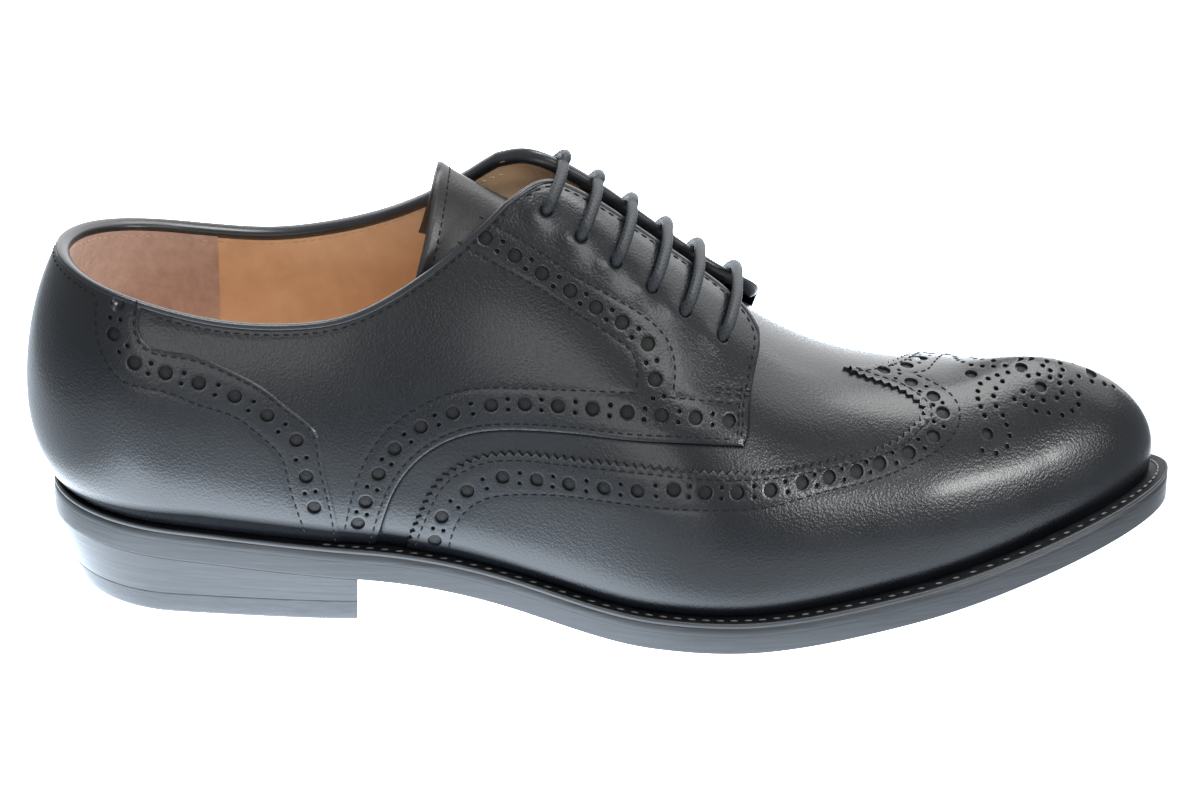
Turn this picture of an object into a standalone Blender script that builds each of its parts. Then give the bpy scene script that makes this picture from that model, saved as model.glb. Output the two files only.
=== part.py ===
"""Right-foot wingtip derby shoe, one solid for each piece that a shoemaker would join.

Tables and sizes are in millimetres, with x from the back of the sole towards the toe, the outer
(lateral) side of the foot at -y and the floor at z = 0. MM turns them into metres, and ORIGIN
moves the finished shoe so that its box stands centred on the world origin.

The upper's outer face is one function of two lengths: u runs along the sole from heel to toe, and
v is the distance from the ridge over the instep, negative on the lateral side.
"""
import math

import bmesh
import bpy
import numpy as np

MM = 0.001
ORIGIN = (148.0, 1.7, 0.0)
LATERAL = -1
MEDIAL = 1

# Stations along the sole: the two ends are arcs, with a straight-ruled stretch between them.
HEEL_BACK = -3.0
HEEL_ARC_END = 33.0
TOE_ARC_START = 235.0
TOE_TIP = 306.0
RIDGE_END = 272.0
HEEL_ROUNDNESS = 2.2
TOE_ROUNDNESS = 2.05
TOE_SQUARENESS = 0.35

# Lengths of those three stretches along the sole's edge, which together span u.
HEEL_SPAN = 54.0
MIDDLE_SPAN = 205.0
TOE_SPAN = 91.0
EDGE_LENGTH = HEEL_SPAN + MIDDLE_SPAN + TOE_SPAN

# Columns of the faceted solids in each stretch, and rows up the upper's wall.
HEEL_COLUMNS = 8
MIDDLE_COLUMNS = 21
TOE_COLUMNS = 11
WALL_ROWS = 13
PROFILE_STEPS = 60

# Steps for measuring directions on the form, and limits for merging points and for smooth shading.
EDGE_STEP = 0.02
WALL_STEP = 0.25
MERGE_M = 0.00001
SHARP_ANGLE = math.radians(40)

# Underside of the outsole: heel seat, arch, tread and toe spring.
SEAT_BACK_HEIGHT = 19.0
SEAT_BREAST_HEIGHT = 12.6
BREAST = 83.0
TREAD_START = 163.0
TREAD_END = 186.0
TOE_SPRING = 22.0
TOE_SPRING_POWER = 1.8

# Layers above the outsole's underside.
GAP = 0.3
OUTSOLE_THICKNESS = 5.0
OUTSOLE_BEVEL = 0.8
WELT_TOP = 8.0
FEATHER_HEIGHT = WELT_TOP + GAP
INSOLE_TOP = WELT_TOP
INSOLE_INSET = 0.4

# Heel: taper of its bottom edge, hollow of its front face, thickness of the rubber lift.
HEEL_TOP_INSET = 0.6
HEEL_SIDE_INSET = 1.6
HEEL_BACK_INSET = 6.0
HEEL_TAPER_POWER = 1.6
BREAST_HOLLOW = 4.0
BREAST_STEPS = 6
TOP_PIECE_THICKNESS = 6.0
HEEL_BOTTOM_BEVEL = 0.8

# Leather walls.
UPPER_WALL = 2.4
TONGUE_WALL = 2.0
TONGUE_SIDE_GAP = 2.0
OVERLAY_WALL = 1.1
OVERLAY_GAP = 0.5
FACING_HALF_GAP = 4.5
FACING_FLAT = 8.0
FACING_FADE = 38.0
THROAT_END = 187.5
RIDGE_CENTRING = 0.9

# Tongue: points along and across it, and how far its top edge leans back at the sides.
TONGUE_COLUMNS = 14
TONGUE_ROWS = 12
TONGUE_LEAN = 4.5

# Lace bars: stations of the first and last, reach of their ends from the ridge, size and arch.
LACE_BARS = 6
FIRST_BAR = 131.5
LAST_BAR = 179.5
FIRST_REACH = 14.0
LAST_REACH = 19.0
LACE_RADIUS = 1.6
LACE_CLEARANCE = 0.45
LACE_ARCH = 0.8
LACE_POINTS = 13

# Overlays end this far above the feather line and below the topline; their cutters reach past all.
OVERLAY_FOOT = 4.0
OVERLAY_TOP_MARGIN = 2.0
CUTTER_HALF_WIDTH = 80.0
CUTTER_TOP = 110.0
CUTTER_FRONT = 330.0
CUTTER_BACK = -30.0
PEAK_FLOOR = 50.0

SOLE_COLUMNS = ("station", "centre", "half_width")
SOLE_ROWS = (
    (-3.0, 0.0, 31.5),
    (30.0, 0.0, 34.0),
    (60.0, -0.6, 35.3),
    (83.0, -1.5, 34.5),
    (104.0, -2.4, 32.2),
    (125.0, -3.0, 33.0),
    (146.0, -3.6, 38.8),
    (163.0, -3.2, 44.6),
    (180.0, -1.2, 48.8),
    (200.0, 2.6, 49.8),
    (220.0, 6.0, 47.2),
    (240.0, 8.6, 43.2),
    (261.0, 11.1, 38.6),
    (282.0, 13.5, 35.0),
    (306.0, 15.0, 31.2),
)

# The bulge is how far the wall swells beyond the feather line, at a height above it.
UPPER_COLUMNS = ("station", "ridge_height", "bulge", "bulge_height", "welt_ledge", "roundness")
UPPER_ROWS = (
    (-3.0, 117.0, 7.6, 27.0, 2.2, 2.0),
    (33.0, 118.0, 5.0, 26.0, 2.6, 2.0),
    (66.0, 121.0, 3.6, 24.0, 3.4, 2.0),
    (100.0, 124.0, 3.4, 20.0, 4.4, 2.0),
    (131.0, 118.0, 3.2, 17.0, 5.2, 2.0),
    (160.0, 98.5, 3.0, 14.0, 5.8, 2.0),
    (187.0, 78.2, 2.6, 13.0, 6.0, 2.0),
    (204.0, 68.0, 2.2, 12.5, 6.2, 2.0),
    (222.0, 61.8, 1.8, 12.0, 6.4, 2.05),
    (245.0, 59.8, 1.4, 11.5, 6.6, 2.1),
    (265.0, 59.6, 0.9, 11.0, 6.6, 2.15),
    (274.0, 59.3, 0.6, 11.0, 6.6, 2.15),
)

RIDGE_COLUMNS = ("station", "shift")
RIDGE_ROWS = (
    (-3.0, 0.0),
    (60.0, 0.0),
    (131.0, 0.5),
    (187.0, 0.5),
    (220.0, 0.0),
    (272.0, 0.0),
)

TOPLINE_COLUMNS = ("station", "lateral", "medial")
TOPLINE_ROWS = (
    (-3.0, 95.5, 95.5),
    (12.0, 91.8, 93.0),
    (24.0, 89.4, 91.5),
    (40.0, 86.0, 90.2),
    (56.0, 84.5, 89.8),
    (67.0, 84.8, 91.0),
    (80.0, 87.0, 94.0),
    (93.0, 93.0, 99.0),
    (104.0, 100.5, 105.5),
    (114.0, 108.8, 112.5),
    (124.0, 117.5, 118.5),
    (132.0, 124.0, 124.0),
)

# The laced facings stand above the form by this much; the lift fades out down the sides.
FACING_COLUMNS = ("station", "lift")
FACING_ROWS = (
    (110.0, 0.0),
    (122.0, 1.3),
    (150.0, 2.8),
    (187.5, 5.0),
)

# Upper edge of the wing seen from the side; ahead of the last row the whole toe is covered.
WING_COLUMNS = ("station", "height")
WING_ROWS = (
    (96.5, 20.0),
    (97.5, 27.0),
    (100.5, 34.0),
    (104.5, 41.5),
    (110.0, 46.2),
    (117.5, 49.2),
    (126.0, 50.4),
    (160.0, 50.8),
    (180.0, 49.8),
    (208.0, 48.6),
    (221.0, 49.4),
    (228.0, 51.0),
    (233.5, 53.6),
    (236.0, 57.0),
)

# Edge of the wing's peak over the vamp, seen from above.
PEAK_COLUMNS = ("station", "lateral", "medial")
PEAK_ROWS = (
    (213.0, -2.0, -1.6),
    (221.0, -3.2, 3.0),
    (228.0, -4.8, 9.8),
    (233.0, -8.0, 16.0),
    (240.0, -12.0, 20.0),
)

# Tongue: half width over the instep, and gap in the middle between it and the upper's wall.
TONGUE_TABLE_COLUMNS = ("station", "half_width", "gap")
TONGUE_TABLE_ROWS = (
    (102.0, 35.0, 2.2),
    (110.0, 33.0, 5.6),
    (120.0, 30.0, 8.2),
    (140.0, 25.0, 7.6),
    (165.0, 20.0, 3.6),
    (185.0, 18.0, 1.2),
    (199.0, 17.0, 0.6),
)

# Front edge of the heel counter seen from the side.
COUNTER_COLUMNS = ("station", "height")
COUNTER_ROWS = (
    (25.0, 110.0),
    (23.5, 86.0),
    (26.0, 80.0),
    (33.0, 76.5),
    (42.0, 74.0),
    (52.0, 70.0),
    (61.0, 64.0),
    (69.0, 55.0),
    (73.5, 44.0),
    (76.5, 33.0),
    (78.0, 20.0),
)

BLACK_LEATHER = ("black_leather", (0.022, 0.024, 0.027, 1.0), 0.42)
SOLE_LEATHER = ("black_sole_leather", (0.075, 0.080, 0.085, 1.0), 0.55)
HEEL_RUBBER = ("black_rubber", (0.050, 0.052, 0.055, 1.0), 0.70)
TAN_LEATHER = ("tan_leather", (0.48, 0.28, 0.14, 1.0), 0.60)
WAXED_CORD = ("waxed_cord", (0.060, 0.064, 0.070, 1.0), 0.55)


class Curve:
    """Natural cubic spline through two columns of a table, held level beyond its ends."""

    def __init__(self, at, values):
        self.at = np.array(at, dtype=float)
        self.values = np.array(values, dtype=float)
        count = len(self.at)
        step = np.diff(self.at)
        slope = np.diff(self.values) / step
        matrix = np.eye(count)
        right = np.zeros(count)
        for i in range(1, count - 1):
            matrix[i, i - 1:i + 2] = step[i - 1], 2 * (step[i - 1] + step[i]), step[i]
            right[i] = 6 * (slope[i] - slope[i - 1])
        self.bend = np.linalg.solve(matrix, right)

    def __call__(self, x):
        x = np.clip(np.asarray(x, dtype=float), self.at[0], self.at[-1])
        i = np.clip(np.searchsorted(self.at, x) - 1, 0, len(self.at) - 2)
        step = self.at[i + 1] - self.at[i]
        u = (x - self.at[i]) / step
        w = 1 - u
        line = w * self.values[i] + u * self.values[i + 1]
        return line + step ** 2 / 6 * ((w ** 3 - w) * self.bend[i] + (u ** 3 - u) * self.bend[i + 1])


def table(columns, rows):
    """The columns of a table by name."""
    return dict(zip(columns, np.array(rows).T))


def curves(columns, rows):
    """One curve over the station for each other column of a table."""
    named = table(columns, rows)
    return {name: Curve(named["station"], named[name]) for name in columns[1:]}


SOLE = curves(SOLE_COLUMNS, SOLE_ROWS)
UPPER = curves(UPPER_COLUMNS, UPPER_ROWS)
RIDGE = curves(RIDGE_COLUMNS, RIDGE_ROWS)
TOPLINE = curves(TOPLINE_COLUMNS, TOPLINE_ROWS)
FACING = curves(FACING_COLUMNS, FACING_ROWS)
TONGUE = curves(TONGUE_TABLE_COLUMNS, TONGUE_TABLE_ROWS)
WING = table(WING_COLUMNS, WING_ROWS)
PEAK = table(PEAK_COLUMNS, PEAK_ROWS)
COUNTER = table(COUNTER_COLUMNS, COUNTER_ROWS)


def heel_share(x):
    """How far a station lies into the heel's arc, 0 at its start and 1 at the back."""
    return np.clip((HEEL_ARC_END - x) / (HEEL_ARC_END - HEEL_BACK), 0, 1)


def toe_share(x):
    """How far a station lies into the toe's arc, 0 at its start and 1 at the tip."""
    return np.clip((x - TOE_ARC_START) / (TOE_TIP - TOE_ARC_START), 0, 1)


def station(u):
    """Station of a length along the sole, closer together round both ends."""
    u = np.asarray(u, dtype=float)
    heel_turn = math.pi / 2 * np.clip(u / HEEL_SPAN, 0, 1)
    toe_turn = math.pi / 2 * np.clip((u - HEEL_SPAN - MIDDLE_SPAN) / TOE_SPAN, 0, 1)
    middle = np.clip((u - HEEL_SPAN) / MIDDLE_SPAN, 0, 1)
    heel = HEEL_ARC_END - (HEEL_ARC_END - HEEL_BACK) * np.cos(heel_turn)
    return heel + (TOE_ARC_START - HEEL_ARC_END) * middle + (TOE_TIP - TOE_ARC_START) * np.sin(toe_turn)


def length_at(x):
    """Length along the sole at a station, the inverse of station()."""
    lengths = np.linspace(0, EDGE_LENGTH, 4 * int(EDGE_LENGTH))
    return np.interp(x, station(lengths), lengths)


def underside(x):
    """Height of the outsole's underside at a station."""
    x = np.asarray(x, dtype=float)
    slope = (SEAT_BREAST_HEIGHT - SEAT_BACK_HEIGHT) / (BREAST - HEEL_BACK)
    span = TREAD_START - BREAST
    t = np.clip((x - BREAST) / span, 0, 1)
    arch = SEAT_BREAST_HEIGHT * (2 * t ** 3 - 3 * t ** 2 + 1) + slope * span * (t ** 3 - 2 * t ** 2 + t)
    seat = SEAT_BREAST_HEIGHT + slope * (x - BREAST)
    rise = np.clip((x - TREAD_END) / (TOE_TIP - TREAD_END), 0, None)
    return np.where(x < BREAST, seat, arch) + TOE_SPRING * rise ** TOE_SPRING_POWER


def plain_edge(u, side):
    """Plan points of the sole's edge on one side."""
    x = station(u)
    heel_arc = np.sqrt(np.clip(1 - heel_share(x) ** HEEL_ROUNDNESS, 0, 1))
    toe_arc = np.sqrt(np.clip(1 - toe_share(x) ** TOE_ROUNDNESS, 0, 1))
    return np.stack([x, SOLE["centre"](x) + side * SOLE["half_width"](x) * heel_arc * toe_arc], -1)


def edge(u, side, inset=0.0):
    """Plan points of the sole's edge, moved inwards square to it."""
    ahead = plain_edge(np.clip(u + EDGE_STEP, 0, EDGE_LENGTH), side)
    behind = plain_edge(np.clip(u - EDGE_STEP, 0, EDGE_LENGTH), side)
    along = ahead - behind
    along /= np.linalg.norm(along, axis=-1, keepdims=True)
    outwards = side * np.stack([-along[..., 1], along[..., 0]], -1)
    return plain_edge(u, side) - outwards * np.asarray(inset)[..., None]


def column_lengths():
    """Lengths u of the columns of a solid, heel to toe."""
    return np.concatenate([
        np.linspace(0, HEEL_SPAN, HEEL_COLUMNS, endpoint=False),
        np.linspace(HEEL_SPAN, HEEL_SPAN + MIDDLE_SPAN, MIDDLE_COLUMNS, endpoint=False),
        np.linspace(HEEL_SPAN + MIDDLE_SPAN, EDGE_LENGTH, TOE_COLUMNS + 1),
    ])


def sole_ring(lift, inset):
    """Closed ring of points at a height above the underside, lateral side first."""
    u = column_lengths()
    sides = []
    for side in (LATERAL, MEDIAL):
        x = station(u)
        plan = edge(u, side, inset(x) if callable(inset) else inset)
        sides.append(np.column_stack([plan, underside(plan[:, 0]) + lift]))
    return np.concatenate([sides[0], sides[1][-2:0:-1]])


def wall_profile(u, side):
    """Points of one column of the upper's outer face, from the ridge down to the feather line."""
    x = station(u)
    feather = edge(u, side, UPPER["welt_ledge"](x))
    ridge_x = np.maximum(x, HEEL_ARC_END)
    if x > TOE_ARC_START:
        ridge_x = TOE_ARC_START + (RIDGE_END - TOE_ARC_START) * toe_share(x)
    ridge = np.array([ridge_x, RIDGE_CENTRING * SOLE["centre"](ridge_x) + RIDGE["shift"](ridge_x)])
    reach = np.linalg.norm(feather - ridge)
    out = (feather - ridge) / reach
    foot_z = underside(feather[0]) + FEATHER_HEIGHT
    bulge = UPPER["bulge"](x)
    bulge_z = UPPER["bulge_height"](x)
    crown = UPPER["ridge_height"](ridge_x) - foot_z - bulge_z
    power = 2 / (UPPER["roundness"](x) + TOE_SQUARENESS * toe_share(x) ** 2)
    turn = np.linspace(0, math.pi / 2, PROFILE_STEPS + 1)
    over_r = (reach + bulge) * np.sin(turn) ** power
    over_z = foot_z + bulge_z + crown * np.clip(np.cos(turn), 0, 1) ** power
    tuck_r = reach + bulge * np.cos(turn[1:])
    tuck_z = foot_z + bulge_z * (1 - np.sin(turn[1:]))
    r = np.concatenate([over_r, tuck_r])
    z = np.concatenate([over_z, tuck_z])
    return np.column_stack([ridge[0] + out[0] * r, ridge[1] + out[1] * r, z])


def girth(profile):
    """Distance of each profile point from the ridge."""
    return np.concatenate([[0.0], np.cumsum(np.linalg.norm(np.diff(profile, axis=0), axis=1))])


def wall_point(u, v):
    """A point of the upper's outer face; past the heel or toe, u carries on along the other side."""
    if u < 0:
        u, v = -u, -v
    if u > EDGE_LENGTH:
        u, v = 2 * EDGE_LENGTH - u, -v
    profile = wall_profile(u, MEDIAL if v > 0 else LATERAL)
    along = girth(profile)
    return np.array([np.interp(abs(v), along, profile[:, k]) for k in range(3)])


def wall_normal(u, v):
    """Outward direction of the upper's outer face, straight up where its columns meet at the toe."""
    along = wall_point(u + WALL_STEP, v) - wall_point(u - WALL_STEP, v)
    across = wall_point(u, v + WALL_STEP) - wall_point(u, v - WALL_STEP)
    normal = np.cross(along, across)
    size = np.linalg.norm(normal)
    return normal / size if size > 1e-9 else np.array([0.0, 0.0, 1.0])


def raised(u, v, lift):
    """A point at a height above the upper's outer face."""
    return wall_point(u, v) + lift * wall_normal(u, v)


def facing_lift(u, v):
    """How far the facings stand above the form: level by the lacing, nothing on the vamp."""
    x = station(u)
    fade = np.clip((abs(v) - FACING_FLAT) / (FACING_FADE - FACING_FLAT), 0, 1)
    return FACING["lift"](x) * (1 - fade * fade * (3 - 2 * fade)) if x < THROAT_END else 0.0


def foot_distance(u, side, rise=0.0):
    """Signed v at a rise above the feather line."""
    return side * (girth(wall_profile(u, side))[-1] - rise)


def wall_cut(u, side):
    """Distance from the ridge at which a column ends: the topline, the facing's edge or the ridge."""
    x = station(u)
    profile = wall_profile(u, side)
    along = girth(profile)
    topline = TOPLINE["lateral" if side == LATERAL else "medial"](x)
    cut = 0.0
    if x < THROAT_END:
        cut = max(FACING_HALF_GAP, np.interp(-topline, -profile[:, 2], along))
    return cut


def world(points):
    """Points in metres, with the shoe's box centred on the origin."""
    return [tuple(point) for point in (np.asarray(points) - ORIGIN) * MM]


def material(look):
    """The Principled material of a look, made once."""
    name, colour, roughness = look
    made = bpy.data.materials.get(name)
    if made is None:
        made = bpy.data.materials.new(name)
        made.use_nodes = True
        shader = made.node_tree.nodes["Principled BSDF"]
        shader.inputs["Base Color"].default_value = colour
        shader.inputs["Roughness"].default_value = roughness
        shader.inputs["Metallic"].default_value = 0.0
    return made


def collection(name):
    """A new collection linked to the scene."""
    made = bpy.data.collections.new(name)
    bpy.context.scene.collection.children.link(made)
    return made


def mesh_object(name, points, faces, look, place):
    """An object from points and faces, with touching points merged and round faces smooth."""
    mesh = bpy.data.meshes.new(name)
    mesh.from_pydata(world(points), [], faces)
    work = bmesh.new()
    work.from_mesh(mesh)
    bmesh.ops.remove_doubles(work, verts=work.verts, dist=MERGE_M)
    work.to_mesh(mesh)
    work.free()
    mesh.shade_smooth()
    mesh.set_sharp_from_angle(angle=SHARP_ANGLE)
    made = bpy.data.objects.new(name, mesh)
    made.data.materials.append(material(look))
    place.objects.link(made)
    return made


def ring_faces(rings, count):
    """Quads between neighbouring rings of the same number of points."""
    faces = []
    for k in range(rings - 1):
        for i in range(count):
            j = (i + 1) % count
            faces.append((k * count + i, k * count + j, (k + 1) * count + j, (k + 1) * count + i))
    return faces


def strip_faces(first, count, upwards):
    """Faces across a sole ring, from its lateral to its medial points."""
    half = count // 2
    faces = []
    for i in range(half):
        corners = [i, i + 1, (count - i - 1) % count, (count - i) % count]
        corners = [first + corner for corner in dict.fromkeys(corners)]
        faces.append(corners if upwards else corners[::-1])
    return faces


def sole_solid(name, rings, look, place):
    """A closed layer of the sole from rings, lowest first."""
    count = len(rings[0])
    faces = ring_faces(len(rings), count)
    faces += strip_faces(0, count, upwards=False)
    faces += strip_faces((len(rings) - 1) * count, count, upwards=True)
    return mesh_object(name, np.concatenate(rings), faces, look, place)


def solidify(made, thickness, outwards):
    """Give an open surface a wall."""
    wall = made.modifiers.new("Wall", "SOLIDIFY")
    wall.thickness = thickness * MM
    wall.offset = 1.0 if outwards else -1.0
    return made


def build_outsole(place):
    """The leather outsole, bevelled along its lower edge."""
    rings = [
        sole_ring(0.0, OUTSOLE_BEVEL),
        sole_ring(OUTSOLE_BEVEL, 0.0),
        sole_ring(OUTSOLE_THICKNESS, 0.0),
    ]
    return sole_solid("outsole", rings, SOLE_LEATHER, place)


def build_welt(place):
    """The strip round the sole's edge that carries the upper."""
    low = OUTSOLE_THICKNESS + GAP
    rings = [
        sole_ring(low, 0.0),
        sole_ring(WELT_TOP, 0.0),
        sole_ring(WELT_TOP, UPPER["welt_ledge"]),
        sole_ring(low, UPPER["welt_ledge"]),
    ]
    count = len(rings[0])
    faces = ring_faces(len(rings) + 1, count)
    faces = [[corner % (len(rings) * count) for corner in face] for face in faces]
    return mesh_object("welt", np.concatenate(rings), faces, SOLE_LEATHER, place)


def build_insole(place):
    """The board that closes the upper underneath, inside the welt."""
    def inset(x):
        return UPPER["welt_ledge"](x) + INSOLE_INSET
    rings = [sole_ring(OUTSOLE_THICKNESS + GAP, inset), sole_ring(INSOLE_TOP, inset)]
    return sole_solid("insole", rings, TAN_LEATHER, place)


def heel_taper(x, share):
    """Inset of the heel's outline, growing from its top (share 0) to the floor (share 1)."""
    floor_inset = HEEL_SIDE_INSET + (HEEL_BACK_INSET - HEEL_SIDE_INSET) * heel_share(x) ** HEEL_TAPER_POWER
    return HEEL_TOP_INSET + (floor_inset - HEEL_TOP_INSET) * share


def heel_ring(share, height, extra_inset=0.0):
    """Closed ring round the heel; height is a function of the station."""
    u = np.append(column_lengths()[:HEEL_COLUMNS], np.linspace(HEEL_SPAN, length_at(BREAST), HEEL_COLUMNS))
    sides = [edge(u, side, heel_taper(station(u), share) + extra_inset) for side in (LATERAL, MEDIAL)]
    across = np.linspace(0, 1, BREAST_STEPS + 1)[1:-1]
    corner_a, corner_b = sides[0][-1], sides[1][-1]
    breast = corner_a + (corner_b - corner_a) * across[:, None]
    breast[:, 0] -= BREAST_HOLLOW * np.sin(math.pi * across)
    plan = np.concatenate([sides[0], breast, sides[1][:0:-1]])
    return np.column_stack([plan, height(plan[:, 0])])


def ring_solid(name, rings, look, place):
    """A closed solid from rings, lowest first, with flat ends."""
    count = len(rings[0])
    faces = ring_faces(len(rings), count)
    faces.append(list(range(count))[::-1])
    faces.append([(len(rings) - 1) * count + i for i in range(count)])
    return mesh_object(name, np.concatenate(rings), faces, look, place)


def level(height):
    """A height that is the same at every station."""
    return lambda x: np.full_like(x, height)


def build_heel(place):
    """Stacked leather lifts under the seat, and the rubber lift on the floor."""
    joint = TOP_PIECE_THICKNESS / SEAT_BACK_HEIGHT
    ring_solid("heel_stack", [
        heel_ring(1 - joint, level(TOP_PIECE_THICKNESS + GAP)),
        heel_ring(0.0, lambda x: underside(x) - GAP),
    ], SOLE_LEATHER, place)
    ring_solid("heel_top_piece", [
        heel_ring(1.0, level(0.0), HEEL_BOTTOM_BEVEL),
        heel_ring(1.0, level(HEEL_BOTTOM_BEVEL)),
        heel_ring(1 - joint, level(TOP_PIECE_THICKNESS)),
    ], HEEL_RUBBER, place)


def upper_surface(name, look, place, lift=0.0, foot_rise=0.0, top_margin=0.0):
    """The upper's outer face as an open surface, moved outwards by a lift and trimmed at both edges."""
    u = column_lengths()
    columns = [(value, LATERAL) for value in u] + [(value, MEDIAL) for value in u[-2:0:-1]]
    points = []
    for value, side in columns:
        foot = abs(foot_distance(value, side, foot_rise))
        cut = wall_cut(value, side)
        if cut > 0:
            cut += top_margin
        for distance in np.linspace(foot, cut, WALL_ROWS + 1):
            v = side * distance
            points.append(raised(value, v, lift + facing_lift(value, v)))
    rows = WALL_ROWS + 1
    faces = []
    for i in range(len(columns)):
        j = (i + 1) % len(columns)
        for k in range(WALL_ROWS):
            faces.append((i * rows + k, j * rows + k, j * rows + k + 1, i * rows + k + 1))
    return mesh_object(name, points, faces, look, place)


def build_upper(place):
    """Vamp and quarters as one hollow wall, open at collar, throat and underneath."""
    return solidify(upper_surface("upper", BLACK_LEATHER, place), UPPER_WALL, outwards=False)


def build_tongue(place):
    """The tongue, a curved sheet inside the upper's wall that sags between the facings."""
    top, root = TONGUE_TABLE_ROWS[0][0], TONGUE_TABLE_ROWS[-1][0]
    points = []
    for x in np.linspace(top, root, TONGUE_COLUMNS + 1):
        half, middle = TONGUE["half_width"](x), TONGUE["gap"](x)
        side_gap = min(TONGUE_SIDE_GAP, middle)
        for across in np.linspace(-1, 1, TONGUE_ROWS + 1):
            u = length_at(x) - TONGUE_LEAN * across ** 2 * (root - x) / (root - top)
            gap = side_gap + (middle - side_gap) * (1 - across ** 2)
            points.append(raised(u, half * across, -(UPPER_WALL + gap)))
    rows = TONGUE_ROWS + 1
    faces = []
    for i in range(TONGUE_COLUMNS):
        for k in range(TONGUE_ROWS):
            faces.append((i * rows + k, (i + 1) * rows + k, (i + 1) * rows + k + 1, i * rows + k + 1))
    return solidify(mesh_object("tongue", points, faces, BLACK_LEATHER, place), TONGUE_WALL, outwards=False)


def build_lace(place):
    """Six straight bars of round lace that arch over the throat between the facings."""
    for bar in range(LACE_BARS):
        share = bar / (LACE_BARS - 1)
        u = length_at(FIRST_BAR + (LAST_BAR - FIRST_BAR) * share)
        reach = FIRST_REACH + (LAST_REACH - FIRST_REACH) * share
        points = []
        for across in np.linspace(-1, 1, LACE_POINTS):
            arch = LACE_RADIUS + LACE_CLEARANCE + LACE_ARCH * (1 - across ** 2)
            points.append(raised(u, reach * across, arch + facing_lift(u, reach * across)))
        curve = bpy.data.curves.new(f"lace_bar_{bar + 1}", "CURVE")
        curve.dimensions = "3D"
        curve.bevel_depth = LACE_RADIUS * MM
        curve.bevel_resolution = 2
        curve.use_fill_caps = True
        path = curve.splines.new("POLY")
        path.points.add(LACE_POINTS - 1)
        for point, place_m in zip(path.points, world(points)):
            point.co = (*place_m, 1.0)
            point.radius = 1.0
        curve.materials.append(material(WAXED_CORD))
        place.objects.link(bpy.data.objects.new(curve.name, curve))


def prism(name, rings, cutters):
    """A closed cutter between two rings of one outline."""
    made = ring_solid(name, rings, BLACK_LEATHER, cutters)
    work = bmesh.new()
    work.from_mesh(made.data)
    bmesh.ops.recalc_face_normals(work, faces=work.faces)
    work.to_mesh(made.data)
    work.free()
    made.hide_render = True
    made.display_type = "WIRE"
    return made


def side_prism(name, outline, cutters):
    """An outline of stations and heights carried right across the shoe."""
    rings = [[(x, y, z) for x, z in outline] for y in (-CUTTER_HALF_WIDTH, CUTTER_HALF_WIDTH)]
    return prism(name, [np.array(ring) for ring in rings], cutters)


def plan_prism(name, outline, cutters):
    """A plan outline carried up through the toe."""
    rings = [[(x, y, z) for x, y in outline] for z in (PEAK_FLOOR, CUTTER_TOP)]
    return prism(name, [np.array(ring) for ring in rings], cutters)


def boolean(made, operation, other):
    """Join or cut an object with another."""
    change = made.modifiers.new(operation.title(), "BOOLEAN")
    change.operation = operation
    change.solver = "EXACT"
    change.object = other


def overlay(name, cutter, place):
    """A leather layer cut between two larger forms: a shell over the upper and an outline's prism."""
    shell = upper_surface(name, BLACK_LEATHER, place, OVERLAY_GAP, OVERLAY_FOOT, OVERLAY_TOP_MARGIN)
    solidify(shell, OVERLAY_WALL, outwards=True)
    boolean(shell, "INTERSECT", cutter)
    return shell


def build_wing_cap(place, cutters):
    """The winged toe cap: a low edge along each side, and a peak over the vamp."""
    edge_points = list(zip(WING["station"], WING["height"]))
    back = WING["station"][0]
    front = WING["station"][-1]
    round_toe = [(front, CUTTER_TOP), (CUTTER_FRONT, CUTTER_TOP), (CUTTER_FRONT, 0.0), (back, 0.0)]
    sides = side_prism("wing_outline", edge_points + round_toe, cutters)
    lateral_edge = list(zip(PEAK["station"], PEAK["lateral"]))
    medial_edge = list(zip(PEAK["station"], PEAK["medial"]))
    peak = plan_prism("wing_peak_outline", lateral_edge + medial_edge[::-1], cutters)
    boolean(sides, "UNION", peak)
    return overlay("wing_cap", sides, place)


def build_heel_counter(place, cutters):
    """The back panel: a tab up to the collar, and a front edge that sweeps down to the welt."""
    edge_points = list(zip(COUNTER["station"], COUNTER["height"]))
    top = COUNTER["height"][0]
    front = COUNTER["station"][-1]
    round_heel = [(front, 0.0), (CUTTER_BACK, 0.0), (CUTTER_BACK, top)]
    outline = side_prism("counter_outline", edge_points + round_heel, cutters)
    return overlay("heel_counter", outline, place)


def main():
    """Clear the scene and build every piece."""
    for old in list(bpy.data.objects):
        bpy.data.objects.remove(old, do_unlink=True)
    place = collection("wingtip_shoe")
    cutters = collection("wingtip_shoe_cutters")
    build_outsole(place)
    build_welt(place)
    build_insole(place)
    build_heel(place)
    build_upper(place)
    build_tongue(place)
    build_lace(place)
    build_wing_cap(place, cutters)
    build_heel_counter(place, cutters)


main()
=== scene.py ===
"""Looks of a black wingtip derby: punched leather panels over one last, laces, welt, sole and heel.

Tables and sizes are in millimetres, x from the back of the sole towards the toe, the outer
(lateral) side of the foot at -y. A place on the upper is (u, v): u runs along the sole's edge from
heel to toe, v is the distance from the ridge over the instep, negative on the lateral side.
"""
import logging
import math
from dataclasses import dataclass, field
from enum import Enum
from functools import cache
from typing import Callable, Iterable, Sequence

import bmesh
import bpy
import numpy as np
from bpy.types import ID, Material, Node, NodeSocket, NodeTree, Object
from mathutils import Matrix, Vector, geometry, kdtree


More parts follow.
